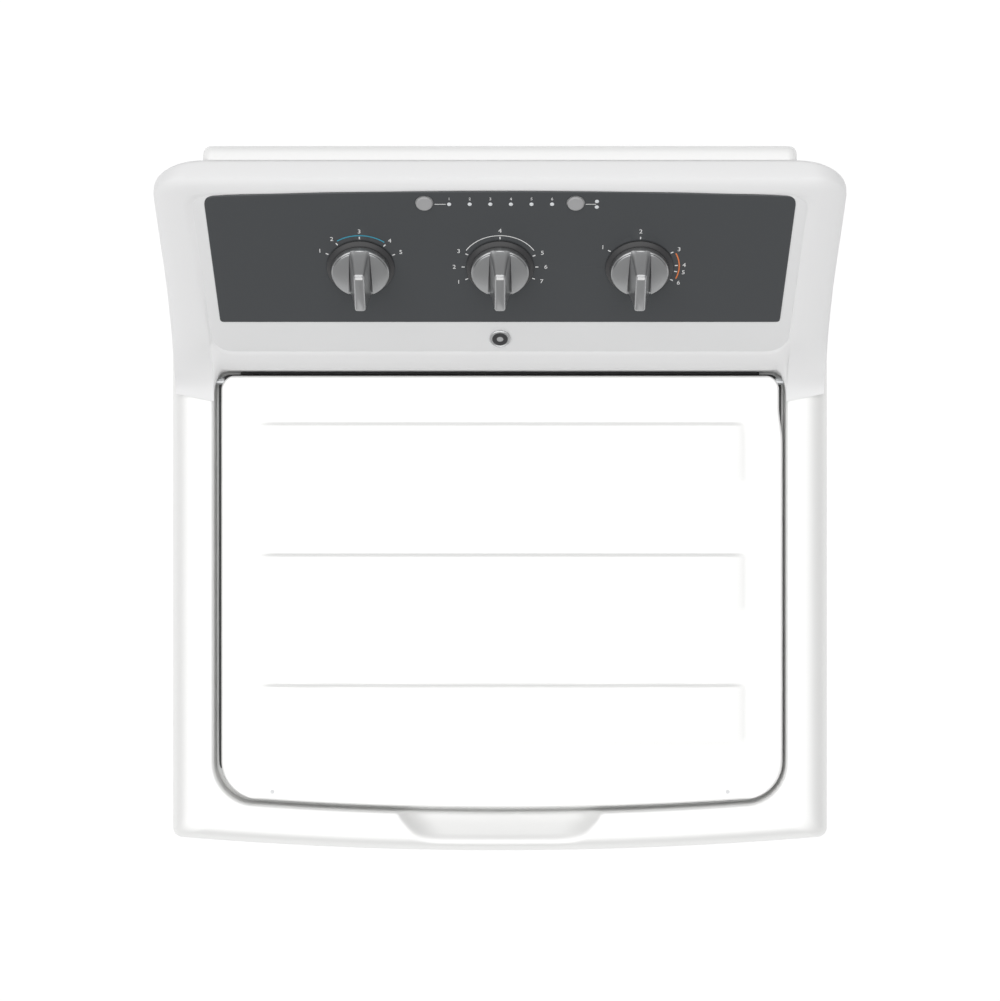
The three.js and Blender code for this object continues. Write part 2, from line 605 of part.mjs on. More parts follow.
// In front of the wash lid the face ends in an upright lip.
function lipToe(shape) {
  shape.quadraticCurveTo(LIP_Y, DECK_HEIGHT + LIP_HEIGHT + 8, LIP_Y, DECK_HEIGHT + LIP_HEIGHT);
  shape.lineTo(LIP_Y, CONSOLE_BASE);
}

// Beside the lid the face sweeps forward along the rails.
function wingToe(shape) {
  const front = LIP_Y - WING_REACH;
  shape.quadraticCurveTo(LIP_Y - 8, DECK_HEIGHT + 5, front, DECK_HEIGHT + 3);
  shape.lineTo(front, CONSOLE_BASE);
}

function consoleInside() {
  const drop = FACE_WALL * Math.cos(FACE_ANGLE);
  const back = FACE_WALL * Math.sin(FACE_ANGLE);
  return polygon([
    [LIP_Y + 4, DECK_HEIGHT - 5],
    [LIP_Y + 4, DECK_HEIGHT + LIP_HEIGHT],
    [TOE.x + back, TOE.y - drop],
    [BROW.x + back, BROW.y - drop],
    [BROW.x + 12, BROW.y + BROW_DROP - 5],
    [HOUSING_BACK - 3, BROW.y + BROW_DROP / 2 - 5],
    [HOUSING_BACK - 3, DECK_HEIGHT - 5],
  ]);
}

const REAR_COVER_X = CONSOLE_X - REAR_COVER_MARGIN;
const REAR_COVER_BOTTOM = DECK_HEIGHT + 8;
const REAR_COVER_TOP = BROW.y + 2;

function panelOutline(inset) {
  const half = PANEL_LENGTH / 2 - inset;
  const low = PANEL_HALF - inset;
  const high = low + PANEL_TAPER;
  return polygon([
    [-low + 3, -half], [low - 3, -half], [low, -half + 3], [high, half - 10], [high - 10, half],
    [-high + 10, half], [-high, half - 10], [-low, -half + 3],
  ]);
}

// The console face's own frame: x across, y up the slope, z out of the face.
const face = new THREE.Group();
face.position.set(0, PANEL_CENTRE.x, PANEL_CENTRE.y);
face.rotation.x = FACE_ANGLE;
face.updateMatrix();

function consoleHousing() {
  const middle = sideways(consoleProfile(lipToe), -CONSOLE_X, CONSOLE_X);
  const wings = [-1, 1].map((side) => {
    const x0 = Math.min(side * RECESS_X, side * CONSOLE_X);
    const x1 = Math.max(side * RECESS_X, side * CONSOLE_X);
    return sideways(consoleProfile(wingToe), x0, x1);
  });
  const seat = prism(panelOutline(-GAP), -PANEL_THICKNESS - GAP, 8).transform(face.matrix.elements);
  const window = prism(panelOutline(PANEL_LEDGE), -FACE_WALL - 6, 1).transform(face.matrix.elements);
  const backDoor = backwards(
    roundedRect(-REAR_COVER_X + 8, REAR_COVER_X - 8, REAR_COVER_BOTTOM + 8, REAR_COVER_TOP - 8, 10),
    HOUSING_BACK - 8, HOUSING_BACK + 1);
  return cut(
    join(middle, ...wings), sideways(consoleInside(), -CONSOLE_X + 3, CONSOLE_X - 3), seat, window, backDoor);
}

function consoleRearCover() {
  const outline = (inset) => roundedRect(
    -REAR_COVER_X + inset, REAR_COVER_X - inset, REAR_COVER_BOTTOM + inset, REAR_COVER_TOP - inset, 18 - inset);
  return cut(
    backwards(outline(0), HOUSING_BACK + GAP, BACK),
    backwards(outline(3), HOUSING_BACK, BACK - 3),
  );
}

function knobPlaces() {
  return [["water_level", -KNOB_SPACING], ["cycle", 0], ["temperature", KNOB_SPACING]];
}

function lightPlaces() {
  const row = [-2.5, -1.5, -0.5, 0.5, 1.5, 2.5].map((step) => [step * LIGHT_PITCH - 0.5, TOP_ROW]);
  return [...row, [BUTTON_OFFSET + 20, TOP_ROW + 3.5], [BUTTON_OFFSET + 20, TOP_ROW - 3.5]];
}

function controlPanel() {
  const knobs = knobPlaces().map(([, x]) => rod(KNOB_HUB_RADIUS + 1, -9, 1, x, -KNOB_DROP, 12));
  const buttons = [-1, 1].map((side) => rod(BUTTON_RADIUS + 0.5, -9, 1, side * BUTTON_OFFSET, TOP_ROW));
  const lights = lightPlaces().map(([x, y]) => rod(LIGHT_RADIUS + GAP, -9, 1, x, y, 8));
  return cut(prism(panelOutline(0), -PANEL_THICKNESS, 0), ...knobs, ...buttons, ...lights);
}

// A turned skirt and disc under a tall tapered grip, with the hub that turns the switch.
function knob(x) {
  const skirt = KNOB_RADIUS + KNOB_SKIRT;
  const body = turned([
    [0, 1], [skirt, 1], [skirt, 4], [KNOB_RADIUS + 1, 6], [KNOB_RADIUS, 12], [0, 12],
  ], 16);
  const rise = polygon([
    [-KNOB_RADIUS, 6], [KNOB_RADIUS, 6], [KNOB_RADIUS - 9, KNOB_HEIGHT], [-KNOB_RADIUS + 1, KNOB_HEIGHT],
  ]);
  const taper = polygon([[-10, 6], [10, 6], [5, KNOB_HEIGHT], [-5, KNOB_HEIGHT]]);
  const grip = sideways(rise, -11, 11).intersect(backwards(taper, -KNOB_RADIUS - 1, KNOB_RADIUS + 1));
  const hub = rod(KNOB_HUB_RADIUS, SWITCH_BACK + 6, 2, 0, 0, 12);
  return join(body, grip, hub).translate([x, -KNOB_DROP, 0]);
}

const SWITCH_FRONT = -8;
const SWITCH_BACK = -28;
function rotarySwitch(x) {
  const block = box(x - 20, x + 20, -KNOB_DROP - 20, -KNOB_DROP + 20, SWITCH_BACK, SWITCH_FRONT);
  return block.subtract(rod(KNOB_HUB_RADIUS + 0.6, SWITCH_BACK + 4, 0, x, -KNOB_DROP, 12));
}

function pushButton(side) {
  const x = side * BUTTON_OFFSET;
  const cap = turned([
    [0, -PANEL_THICKNESS - 4], [BUTTON_RADIUS, -PANEL_THICKNESS - 4], [BUTTON_RADIUS, 1.2],
    [BUTTON_RADIUS - 1.5, 2.6], [0, 3],
  ], SMALL_ROUND, x, TOP_ROW);
  const flange = rod(BUTTON_RADIUS + 1, -PANEL_THICKNESS - 3, -PANEL_THICKNESS - 1, x, TOP_ROW);
  return join(cap, flange);
}

function lightGuide() {
  const back = -PANEL_THICKNESS - 10;
  const bar = box(-2.5 * LIGHT_PITCH - 5, 2.5 * LIGHT_PITCH + 4, TOP_ROW - 4, TOP_ROW + 4, back, back + 4);
  const reach = box(2.5 * LIGHT_PITCH, BUTTON_OFFSET + 24, TOP_ROW - 6, TOP_ROW + 6, back, back + 4);
  const pegs = lightPlaces().map(([x, y]) => rod(LIGHT_RADIUS, back + 2, -0.2, x, y, 8));
  return join(bar, reach, ...pegs);
}

function controlBoard() {
  const top = SWITCH_BACK - GAP;
  return box(-KNOB_SPACING - 45, KNOB_SPACING + 45, -KNOB_DROP - 40, TOP_ROW + 6, top - 2, top);
}

function badge() {
  const middle = -PANEL_LENGTH / 2 - BADGE_DROP;
  return turned([
    [0, GAP], [BADGE_RADIUS, GAP], [BADGE_RADIUS, 1.4], [BADGE_RADIUS - 1, 2], [0, 2],
  ], 20, 0, middle);
}

// ---- tub ----------------------------------------------------------------------------------------
function outerTub() {
  const hub = TUB_HUB_BORE;
  const hubOuter = hub + 8;
  const inner = TUB_R - TUB_WALL;
  const floor = TUB_FLOOR_HEIGHT;
  let tub = turned([
    [hub, floor - 26], [hubOuter, floor - 26], [hubOuter, floor], [TUB_R, floor], [TUB_R, TUB_RIM],
    [inner, TUB_RIM], [inner, floor + TUB_WALL], [hubOuter, floor + TUB_WALL],
    [hubOuter, HUB_TOP - 9], [hub, HUB_TOP - 9],
  ], ROUND);
  for (const sx of [-1, 1]) {
    for (const sy of [-1, 1]) tub = tub.add(tubEar(sx, sy));
  }
  tub = tub.add(rod(18, SPIGOT_BOTTOM, floor + 1, PUMP_X, PUMP_Y));
  tub = tub.subtract(rod(14, SPIGOT_BOTTOM - 1, floor + TUB_WALL + 1, PUMP_X, PUMP_Y));
  return tub;
}

// An arm from the tub wall out to a suspension rod.
function tubEar(sx, sy) {
  const angle = Math.atan2(ROD_Y * sy, ROD_X * sx);
  const reach = Math.hypot(ROD_X, ROD_Y);
  const arm = box(TUB_R - 2.5, reach + 20, -24, 24, EAR_HEIGHT, EAR_HEIGHT + EAR_THICKNESS);
  const hole = rod(ROD_RADIUS + 2, EAR_HEIGHT - 1, EAR_HEIGHT + EAR_THICKNESS + 1, reach, 0);
  return arm.subtract(hole).rotate([0, 0, THREE.MathUtils.radToDeg(angle)]);
}

function tubRing() {
  const wall = TUB_R + 0.4;
  return turned([
    [TUB_RING_INNER, TUB_TOP], [TUB_RING_INNER, TUB_TOP - 13], [TUB_RING_INNER + 3, TUB_TOP - 13],
    [TUB_RING_INNER + 3, TUB_TOP - 4], [wall, TUB_TOP - 4], [wall, TUB_TOP - 30], [wall + 4, TUB_TOP - 30],
    [wall + 4, TUB_TOP],
  ], ROUND);
}

function suspensionRod(sx, sy) {
  const profile = [
    [0, ROD_BOTTOM], [SPRING_RADIUS + 4, ROD_BOTTOM], [SPRING_RADIUS + 4, SPRING_SEAT - GAP],
    [ROD_RADIUS, SPRING_SEAT - GAP], [ROD_RADIUS, GUSSET_LEVEL + 3 + GAP], [13, GUSSET_LEVEL + 3 + GAP],
    [11, GUSSET_LEVEL + 12], [0, GUSSET_LEVEL + 16],
  ];
  return turned(profile, 12, sx * ROD_X, sy * ROD_Y);
}

// A coil of wire between the rod's cap and the tub's ear.
function suspensionSpring(sx, sy) {
  const low = SPRING_SEAT + SPRING_WIRE;
  const high = EAR_HEIGHT - SPRING_WIRE - GAP;
  const count = SPRING_TURNS * 6;
  const points = [];
  for (let i = 0; i <= count; i += 1) {
    const turn = (i / 6) * 2 * Math.PI;
    points.push(new THREE.Vector3(
      sx * ROD_X + SPRING_RADIUS * Math.cos(turn), sy * ROD_Y + SPRING_RADIUS * Math.sin(turn),
      low + ((high - low) * i) / count));
  }
  const section = new THREE.Shape();
  section.absarc(0, 0, SPRING_WIRE, 0, 2 * Math.PI);
  return solid(new THREE.ExtrudeGeometry(section, {
    steps: count, extrudePath: new THREE.CatmullRomCurve3(points), curveSegments: 2,
  }));
}

// ---- basket and agitator ------------------------------------------------------------------------
const HUB_DISC_RADIUS = 100;
function washBasket() {
  const bore = DRIVE_SHAFT_RADIUS + 2;
  return turned([
    [bore, BASKET_FLOOR], [BASKET_R - 12, BASKET_FLOOR], [BASKET_R, BASKET_FLOOR + 12], [BASKET_R, BASKET_RIM],
    [BASKET_R - BASKET_WALL, BASKET_RIM], [BASKET_R - BASKET_WALL, BASKET_FLOOR + 13],
    [BASKET_R - 13, BASKET_FLOOR + BASKET_WALL], [bore, BASKET_FLOOR + BASKET_WALL],
  ], ROUND);
}

function balanceRing() {
  const low = BASKET_RIM + GAP;
  const high = low + BALANCE_RING_HEIGHT;
  return turned([
    [BALANCE_INNER, low + 6], [BALANCE_INNER + 8, low], [BASKET_R + 3, low], [BASKET_R + 3, high - 5],
    [BASKET_R - 3, high], [BALANCE_INNER + 5, high], [BALANCE_INNER, high - 5],
  ], ROUND);
}

function basketHub() {
  const bore = DRIVE_SHAFT_RADIUS + 0.6;
  return turned([
    [bore, TUB_FLOOR_HEIGHT - 45], [SPIN_TUBE_RADIUS, TUB_FLOOR_HEIGHT - 45], [SPIN_TUBE_RADIUS, HUB_TOP - 8],
    [HUB_DISC_RADIUS, HUB_TOP - 8], [HUB_DISC_RADIUS, HUB_TOP], [bore, HUB_TOP],
  ], CORE_ROUND);
}

function hubRing(low, high) {
  return ring(SPIN_TUBE_RADIUS + GAP, TUB_HUB_BORE - GAP, low, high, 0, 0, CORE_ROUND);
}

function driveShaft() {
  return turned([
    [0, PULLEY_LEVEL - 8], [DRIVE_SHAFT_RADIUS - 2, PULLEY_LEVEL - 8], [DRIVE_SHAFT_RADIUS, PULLEY_LEVEL - 6],
    [DRIVE_SHAFT_RADIUS, AGITATOR_BOTTOM + 30], [0, AGITATOR_BOTTOM + 30],
  ], CORE_ROUND);
}

// A grooved pulley about (x, y).
function pulley(radius, bore, x, segments) {
  const low = PULLEY_LEVEL;
  const high = PULLEY_LEVEL + PULLEY_HEIGHT;
  return turned([
    [bore, low], [radius + 4, low], [radius + 4, low + 1.5], [radius, low + 1.5], [radius, high - 1.5],
    [radius + 4, high - 1.5], [radius + 4, high], [bore, high],
  ], segments, x);
}

function drivePulley() {
  const windows = [0, 1, 2, 3, 4].map((i) => {
    const angle = (i * 2 * Math.PI) / 5;
    const r = DRIVE_PULLEY_RADIUS * 0.56;
    return rod(17, PULLEY_LEVEL - 1, PULLEY_LEVEL + PULLEY_HEIGHT + 1, r * Math.cos(angle), r * Math.sin(angle), 8);
  });
  return cut(pulley(DRIVE_PULLEY_RADIUS, DRIVE_SHAFT_RADIUS + GAP, 0, CORE_ROUND), ...windows);
}

function motorPulley() {
  const shaft = rod(7, PULLEY_LEVEL - 4, MOTOR_TOP - 20, MOTOR_OFFSET, 0, 12);
  return join(pulley(MOTOR_PULLEY_RADIUS, 5, MOTOR_OFFSET, 20), shaft);
}

// The loop round both pulleys, with its straight runs on their common tangents.
function driveBelt() {
  const loop = (extra) => {
    const big = DRIVE_PULLEY_RADIUS + 2 * GAP + extra;
    const small = MOTOR_PULLEY_RADIUS + 2 * GAP + extra;
    const lean = Math.acos((DRIVE_PULLEY_RADIUS - MOTOR_PULLEY_RADIUS) / MOTOR_OFFSET);
    const shape = new THREE.Shape();
    shape.absarc(0, 0, big, lean, 2 * Math.PI - lean);
    shape.absarc(MOTOR_OFFSET, 0, small, -lean, lean);
    return shape;
  };
  const low = PULLEY_LEVEL + 3;
  const high = PULLEY_LEVEL + PULLEY_HEIGHT - 3;
  return cut(prism(loop(3), low, high, 10), prism(loop(0), low - 1, high + 1, 10));
}

const POST_REACH = { left: -95, right: MOTOR_OFFSET + MOTOR_RADIUS + 8, side: 60 };
function motorBracket() {
  const plate = prism(
    roundedRect(POST_REACH.left - 16, POST_REACH.right + 14, -POST_REACH.side - 16, POST_REACH.side + 16, 14),
    BRACKET_LEVEL, BRACKET_TOP, 3);
  let bracket = cut(
    plate,
    rod(SPIN_TUBE_RADIUS + 8, BRACKET_LEVEL - 1, BRACKET_TOP + 1, 0, 0, 24),
    rod(12, BRACKET_LEVEL - 1, BRACKET_TOP + 1, MOTOR_OFFSET, 0),
  );
  for (const x of [POST_REACH.left, POST_REACH.right]) {
    for (const side of [-1, 1]) {
      bracket = bracket.add(rod(9, BRACKET_TOP - 1, TUB_FLOOR_HEIGHT - GAP, x, side * POST_REACH.side, 8));
    }
  }
  return bracket;
}

function motor() {
  const low = BRACKET_TOP + GAP;
  const can = turned([
    [0, low], [MOTOR_RADIUS - 8, low], [MOTOR_RADIUS, low + 8], [MOTOR_RADIUS, MOTOR_TOP - 8],
    [MOTOR_RADIUS - 8, MOTOR_TOP], [0, MOTOR_TOP],
  ], 20, MOTOR_OFFSET);
  return can.subtract(rod(7.6, low - 1, MOTOR_TOP - 16, MOTOR_OFFSET, 0, 12));
}

// The auger's core stands in the agitator's mouth and carries a screw flight.
function agitatorAuger() {
  const low = AGITATOR_TOP + GAP;
  const core = turned([
    [40, low - 18], [46, low - 18], [46, low], [BARREL_RADIUS - 3, low], [BARREL_RADIUS - 8, AUGER_TOP],
    [42, AUGER_TOP], [42, low],
  ], CORE_ROUND);
  return core.add(screwFlight(low + 8, AUGER_TOP - 6));
}

// A flight of rectangular section that climbs round the core.
const FLIGHT_STEPS = 14;
function screwFlight(low, high) {
  const steps = Math.round(AUGER_TURNS * FLIGHT_STEPS);
  const inner = BARREL_RADIUS - 10;
  const half = 3;
  const rise = (high - low - 2 * half) / steps;
  const positions = [];
  for (let i = 0; i <= steps; i += 1) {
    const angle = (i / FLIGHT_STEPS) * 2 * Math.PI;
    const z = low + half + rise * i;
    const outer = inner + (AUGER_RADIUS - inner) * Math.min(1, (i + 1) / 6, (steps - i + 1) / 6);
    for (const [r, dz] of [[inner, -half], [outer, -half + 1], [outer, half - 1], [inner, half]]) {
      positions.push(r * Math.cos(angle), r * Math.sin(angle), z + dz);
    }
  }
  const index = [];
  for (let i = 0; i < steps; i += 1) {
    for (let k = 0; k < 4; k += 1) {
      const a = 4 * i + k;
      const b = 4 * i + ((k + 1) % 4);
      index.push(a, b, b + 4, a, b + 4, a + 4);
    }
  }
  const last = 4 * steps;
  index.push(0, 2, 1, 0, 3, 2, last, last + 1, last + 2, last, last + 2, last + 3);
  const geometry = new THREE.BufferGeometry();
  geometry.setAttribute("position", new THREE.Float32BufferAttribute(positions, 3));
  geometry.setIndex(index);
  return solid(geometry);
}

function agitatorBase() {
  const z = AGITATOR_BOTTOM;
  const bore = DRIVE_SHAFT_RADIUS + GAP;
  const top = AGITATOR_TOP;
  const bell = turned([
    [bore, z], [bore + 11, z], [bore + 11, z + 32], [88, z + 32], [AGITATOR_RADIUS - 6, z + 10],
    [AGITATOR_RADIUS - 4, z], [AGITATOR_RADIUS, z], [AGITATOR_RADIUS - 1, z + 12], [102, z + 32],
    [BARREL_RADIUS + 17, z + 58], [BARREL_RADIUS + 4, z + 112], [BARREL_RADIUS, top], [BARREL_RADIUS - 6, top],
    [BARREL_RADIUS - 4, z + 112], [BARREL_RADIUS + 10, z + 58], [84, z + 38], [bore, z + 38],
  ], CORE_ROUND);
  const blade = polygon([
    [BARREL_RADIUS - 1, z + 160], [BARREL_RADIUS + 14, z + 132], [BARREL_RADIUS + 34, z + 80],
    [AGITATOR_RADIUS - 10, z + 34], [AGITATOR_RADIUS - 8, z + 12], [BARREL_RADIUS + 30, z + 35],
    [BARREL_RADIUS + 11, z + 60], [BARREL_RADIUS - 1, z + 112],
  ]);
  const vanes = [0, 1, 2, 3].map((i) => backwards(blade, -4, 4).rotate([0, 0, 90 * i]));
  return join(bell, ...vanes);
}

function softenerCup() {
  const low = AUGER_TOP + GAP;
  return turned([
    [0, low + 3], [36, low + 3], [36, low - 14], [40, low - 14], [40, low], [BARREL_RADIUS - 8, low],
    [BARREL_RADIUS - 4, CUP_TOP], [BARREL_RADIUS - 8, CUP_TOP], [BARREL_RADIUS - 12, low + 6], [0, low + 6],
  ], CORE_ROUND);
}

// ---- pump and hoses -----------------------------------------------------------------------------
function drainPump() {
  const mid = PUMP_BASE + 48;
  const body = turned([
    [0, PUMP_BASE], [PUMP_RADIUS, PUMP_BASE], [PUMP_RADIUS, PUMP_TOP - 20], [PUMP_RADIUS - 15, PUMP_TOP],
    [18, PUMP_TOP], [18, SUMP_HOSE_BOTTOM - GAP], [0, SUMP_HOSE_BOTTOM - GAP],
  ], SMALL_ROUND, PUMP_X, PUMP_Y);
  const outlet = barY(HOSE_RADIUS, PUMP_Y + 20, PUMP_Y + PUMP_RADIUS + 25, PUMP_X, mid);
  return cut(
    join(body, outlet),
    rod(13, PUMP_BASE + 30, SUMP_HOSE_BOTTOM + 1, PUMP_X, PUMP_Y, 12),
    barY(HOSE_RADIUS - 3, PUMP_Y, PUMP_Y + PUMP_RADIUS + 30, PUMP_X, mid, 12),
  );
}

function sumpHose() {
  return ring(14, 18, SUMP_HOSE_BOTTOM, SPIGOT_BOTTOM - GAP, PUMP_X, PUMP_Y);
}

// The drain hose, from the pump along the side wall to the outlet in the rear panel.
function drainHose() {
  const wallX = -(INNER_X - HOSE_RADIUS - 6);
  const start = new THREE.Vector3(PUMP_X, PUMP_Y + PUMP_RADIUS + 25 + GAP, PUMP_BASE + 48);
  const end = new THREE.Vector3(DRAIN_EXIT.x, INNER_BACK - GAP, DRAIN_EXIT.z);
  const route = new THREE.CatmullRomCurve3([
    start,
    start.clone().add(new THREE.Vector3(0, 30, 0)),
    new THREE.Vector3(wallX + 45, 30, 95),
    new THREE.Vector3(wallX, 70, 150),
    new THREE.Vector3(wallX, 75, 300),
    new THREE.Vector3(wallX, 75, DRAIN_EXIT.z - 190),
    new THREE.Vector3(wallX, 110, DRAIN_EXIT.z - 60),
    new THREE.Vector3(end.x - 10, INNER_BACK - 90, end.z - 4),
    new THREE.Vector3(end.x, INNER_BACK - 35, end.z),
    end,
  ]);
  const section = new THREE.Shape();
  section.absarc(0, 0, HOSE_RADIUS, 0, 2 * Math.PI);
  return solid(new THREE.ExtrudeGeometry(section, { steps: 32, extrudePath: route, curveSegments: 4 }));
}

// ---- assembly -----------------------------------------------------------------------------------
const machine = new THREE.Group();
function place(name, shape, material, into = machine) {
  const mesh = new THREE.Mesh(geometryOf(shape), material);
  mesh.name = name;
  into.add(mesh);
}

place("base_frame", baseFrame(), zinc);
for (const [corner, x, y] of footPlaces()) place("foot_" + corner, levellingFoot(x, y), rubber);
place("front_panel", frontPanel(), enamel);
place("side_panel_left", sidePanel(-1), enamel);
place("side_panel_right", sidePanel(1), enamel);
place("rear_panel", rearPanel(), zinc);
place("top_cover", topCover(), enamel);
place("lid_outer", lidOuter(), enamel);
place("lid_inner", lidInner(), whitePlastic);
place("hinge_pin_left", hingePin(-1), zinc);
place("hinge_pin_right", hingePin(1), zinc);
place("lid_strike", lidStrike(), blackPlastic);
place("lid_lock", lidLock(), blackPlastic);
place("lock_bolt", lockBolt(), whitePlastic);
place("water_valve", waterValve(), whitePlastic);
place("fill_nozzle", fillNozzle(), whitePlastic);
place("console_housing", consoleHousing(), whitePlastic);
place("console_rear_cover", consoleRearCover(), whitePlastic);

machine.add(face);
place("control_panel", controlPanel(), darkPlastic, face);
place("badge", badge(), silver, face);
place("control_board", controlBoard(), boardGreen, face);
place("light_guide", lightGuide(), lightCap, face);
place("button_extra_rinse", pushButton(-1), lightCap, face);
place("button_start", pushButton(1), lightCap, face);
for (const [name, x] of knobPlaces()) {
  place("knob_" + name, knob(x), silver, face);
  place("switch_" + name, rotarySwitch(x), greyPlastic, face);
}

place("outer_tub", outerTub(), greyPlastic);
place("tub_ring", tubRing(), whitePlastic);
for (const [corner, sx, sy] of [
  ["front_left", -1, -1], ["front_right", 1, -1], ["rear_left", -1, 1], ["rear_right", 1, 1],
]) {
  place("suspension_rod_" + corner, suspensionRod(sx, sy), zinc);
  place("suspension_spring_" + corner, suspensionSpring(sx, sy), zinc);
}
place("motor_bracket", motorBracket(), zinc);
place("motor", motor(), copperWound);
place("motor_pulley", motorPulley(), zinc);
place("drive_belt", driveBelt(), rubber);
place("drive_pulley", drivePulley(), greyPlastic);
place("drive_shaft", driveShaft(), zinc);
place("lower_bearing", hubRing(TUB_FLOOR_HEIGHT - 20, TUB_FLOOR_HEIGHT - 4), zinc);
place("upper_bearing", hubRing(TUB_FLOOR_HEIGHT + 10, TUB_FLOOR_HEIGHT + 26), zinc);
place("basket_hub", basketHub(), greyPlastic);
place("wash_basket", washBasket(), stainless);
place("balance_ring", balanceRing(), whitePlastic);
place("agitator_base", agitatorBase(), agitatorPlastic);
place("agitator_auger", agitatorAuger(), agitatorPlastic);
place("softener_cup", softenerCup(), whitePlastic);
place("drain_pump", drainPump(), whitePlastic);
place("sump_hose", sumpHose(), rubber);
place("drain_hose", drainHose(), rubber);

export default machine;
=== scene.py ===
"""Looks of a top load washing machine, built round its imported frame.

Every length is in metres and every place is in the frame's own axes: +Z up, the front faces -Y.
Surfaces are worked out as whole arrays: rings of an outline, a profile turned about an axis, or a height
over a grid. Each piece is a closed mesh whose object stays at the origin.
"""

from __future__ import annotations

import json
import logging
import math
from dataclasses import dataclass, field
from enum import Enum

import bmesh
import bpy
import numpy as np
from mathutils import Matrix, Vector

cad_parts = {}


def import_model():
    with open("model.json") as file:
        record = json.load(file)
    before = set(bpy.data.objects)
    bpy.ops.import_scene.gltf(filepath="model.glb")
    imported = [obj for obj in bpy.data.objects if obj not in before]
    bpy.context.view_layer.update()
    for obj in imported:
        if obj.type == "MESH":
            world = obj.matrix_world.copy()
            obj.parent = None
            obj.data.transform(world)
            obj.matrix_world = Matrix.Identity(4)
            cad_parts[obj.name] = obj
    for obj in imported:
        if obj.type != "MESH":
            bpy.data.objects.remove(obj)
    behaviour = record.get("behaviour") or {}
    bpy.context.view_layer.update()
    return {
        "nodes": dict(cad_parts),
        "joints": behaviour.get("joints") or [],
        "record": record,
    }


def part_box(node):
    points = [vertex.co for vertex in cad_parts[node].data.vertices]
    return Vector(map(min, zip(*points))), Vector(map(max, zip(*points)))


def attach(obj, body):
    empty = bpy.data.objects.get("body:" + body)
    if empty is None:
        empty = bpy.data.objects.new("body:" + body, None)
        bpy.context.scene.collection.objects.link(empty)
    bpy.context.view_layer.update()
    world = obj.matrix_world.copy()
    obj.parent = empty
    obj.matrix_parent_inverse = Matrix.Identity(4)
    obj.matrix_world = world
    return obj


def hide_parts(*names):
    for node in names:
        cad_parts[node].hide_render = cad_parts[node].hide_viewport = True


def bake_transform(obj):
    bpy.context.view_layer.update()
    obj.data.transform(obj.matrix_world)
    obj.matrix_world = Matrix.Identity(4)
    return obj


LOG = logging.getLogger("washing_machine")
MM = 0.001
SHARP = 38.0
Array = np.ndarray
Colour = tuple[float, float, float]


# ---- curves and grids ---------------------------------------------------------------------------
def mm(*rows: tuple[float, float]) -> Array:
    """Return rows given in millimetres as an array in metres."""
    return np.array(rows, float) * MM


def ease(t: Array | float) -> Array:
    """Return the smooth step of t: 3t squared less 2t cubed, held between 0 and 1."""
    t = np.clip(t, 0.0, 1.0)
    return t * t * (3.0 - 2.0 * t)


def bezier(a: tuple, b: tuple, c: tuple, count: int) -> Array:
    """Points of the quadratic curve (1-t)^2 a + 2t(1-t) b + t^2 c.

    Args:
        a: Start point.
        b: Control point.
        c: End point.
        count: How many points.

    Returns:
        An array of count rows.
    """
    t = np.linspace(0.0, 1.0, count)[:, None]
    return (1 - t) ** 2 * np.array(a) + 2 * t * (1 - t) * np.array(b) + t**2 * np.array(c)


def rounded(points: Array | list, radius: float, steps: int = 5, closed: bool = True) -> Array:
    """A polyline whose corners become quadratic curves that start and end `radius` from the corner.

    Args:
        points: Corners in order.
        radius: Setback on each side, never over 0.45 of the shorter neighbour.
        steps: Points on each corner.
        closed: Whether the last corner joins the first.

    Returns:
        An (n, 2) array.
    """
    p = np.array(points, float)
    before, after = np.roll(p, 1, axis=0), np.roll(p, -1, axis=0)
    back, ahead = before - p, after - p
    long_back = np.linalg.norm(back, axis=1)
    long_ahead = np.linalg.norm(ahead, axis=1)
    reach = np.minimum(radius, 0.45 * np.minimum(long_back, long_ahead))
    if not closed:
        reach[0] = reach[-1] = 0.0
    start = p + back * (reach / long_back)[:, None]
    end = p + ahead * (reach / long_ahead)[:, None]
    t = np.linspace(0.0, 1.0, steps)[None, :, None]
    curve = (1 - t) ** 2 * start[:, None] + 2 * t * (1 - t) * p[:, None] + t**2 * end[:, None]
    return curve.reshape(-1, 2)


def grid_faces(rows: int, cols: int, close_rows: bool, close_cols: bool) -> Array:
    """Quads between neighbours of a rows by cols grid of vertices, wrapping where asked.

    Args:
        rows: Vertices down.
        cols: Vertices across.
        close_rows: Join the last row to the first.
        close_cols: Join the last column to the first.

    Returns:
        An (n, 4) array of vertex numbers.
    """
    down = np.arange(rows if close_rows else rows - 1)
    across = np.arange(cols if close_cols else cols - 1)
    r, c = np.meshgrid(down, across, indexing="ij")
    r2, c2 = (r + 1) % rows, (c + 1) % cols
    return np.stack([r * cols + c, r * cols + c2, r2 * cols + c2, r2 * cols + c], -1).reshape(-1, 4)


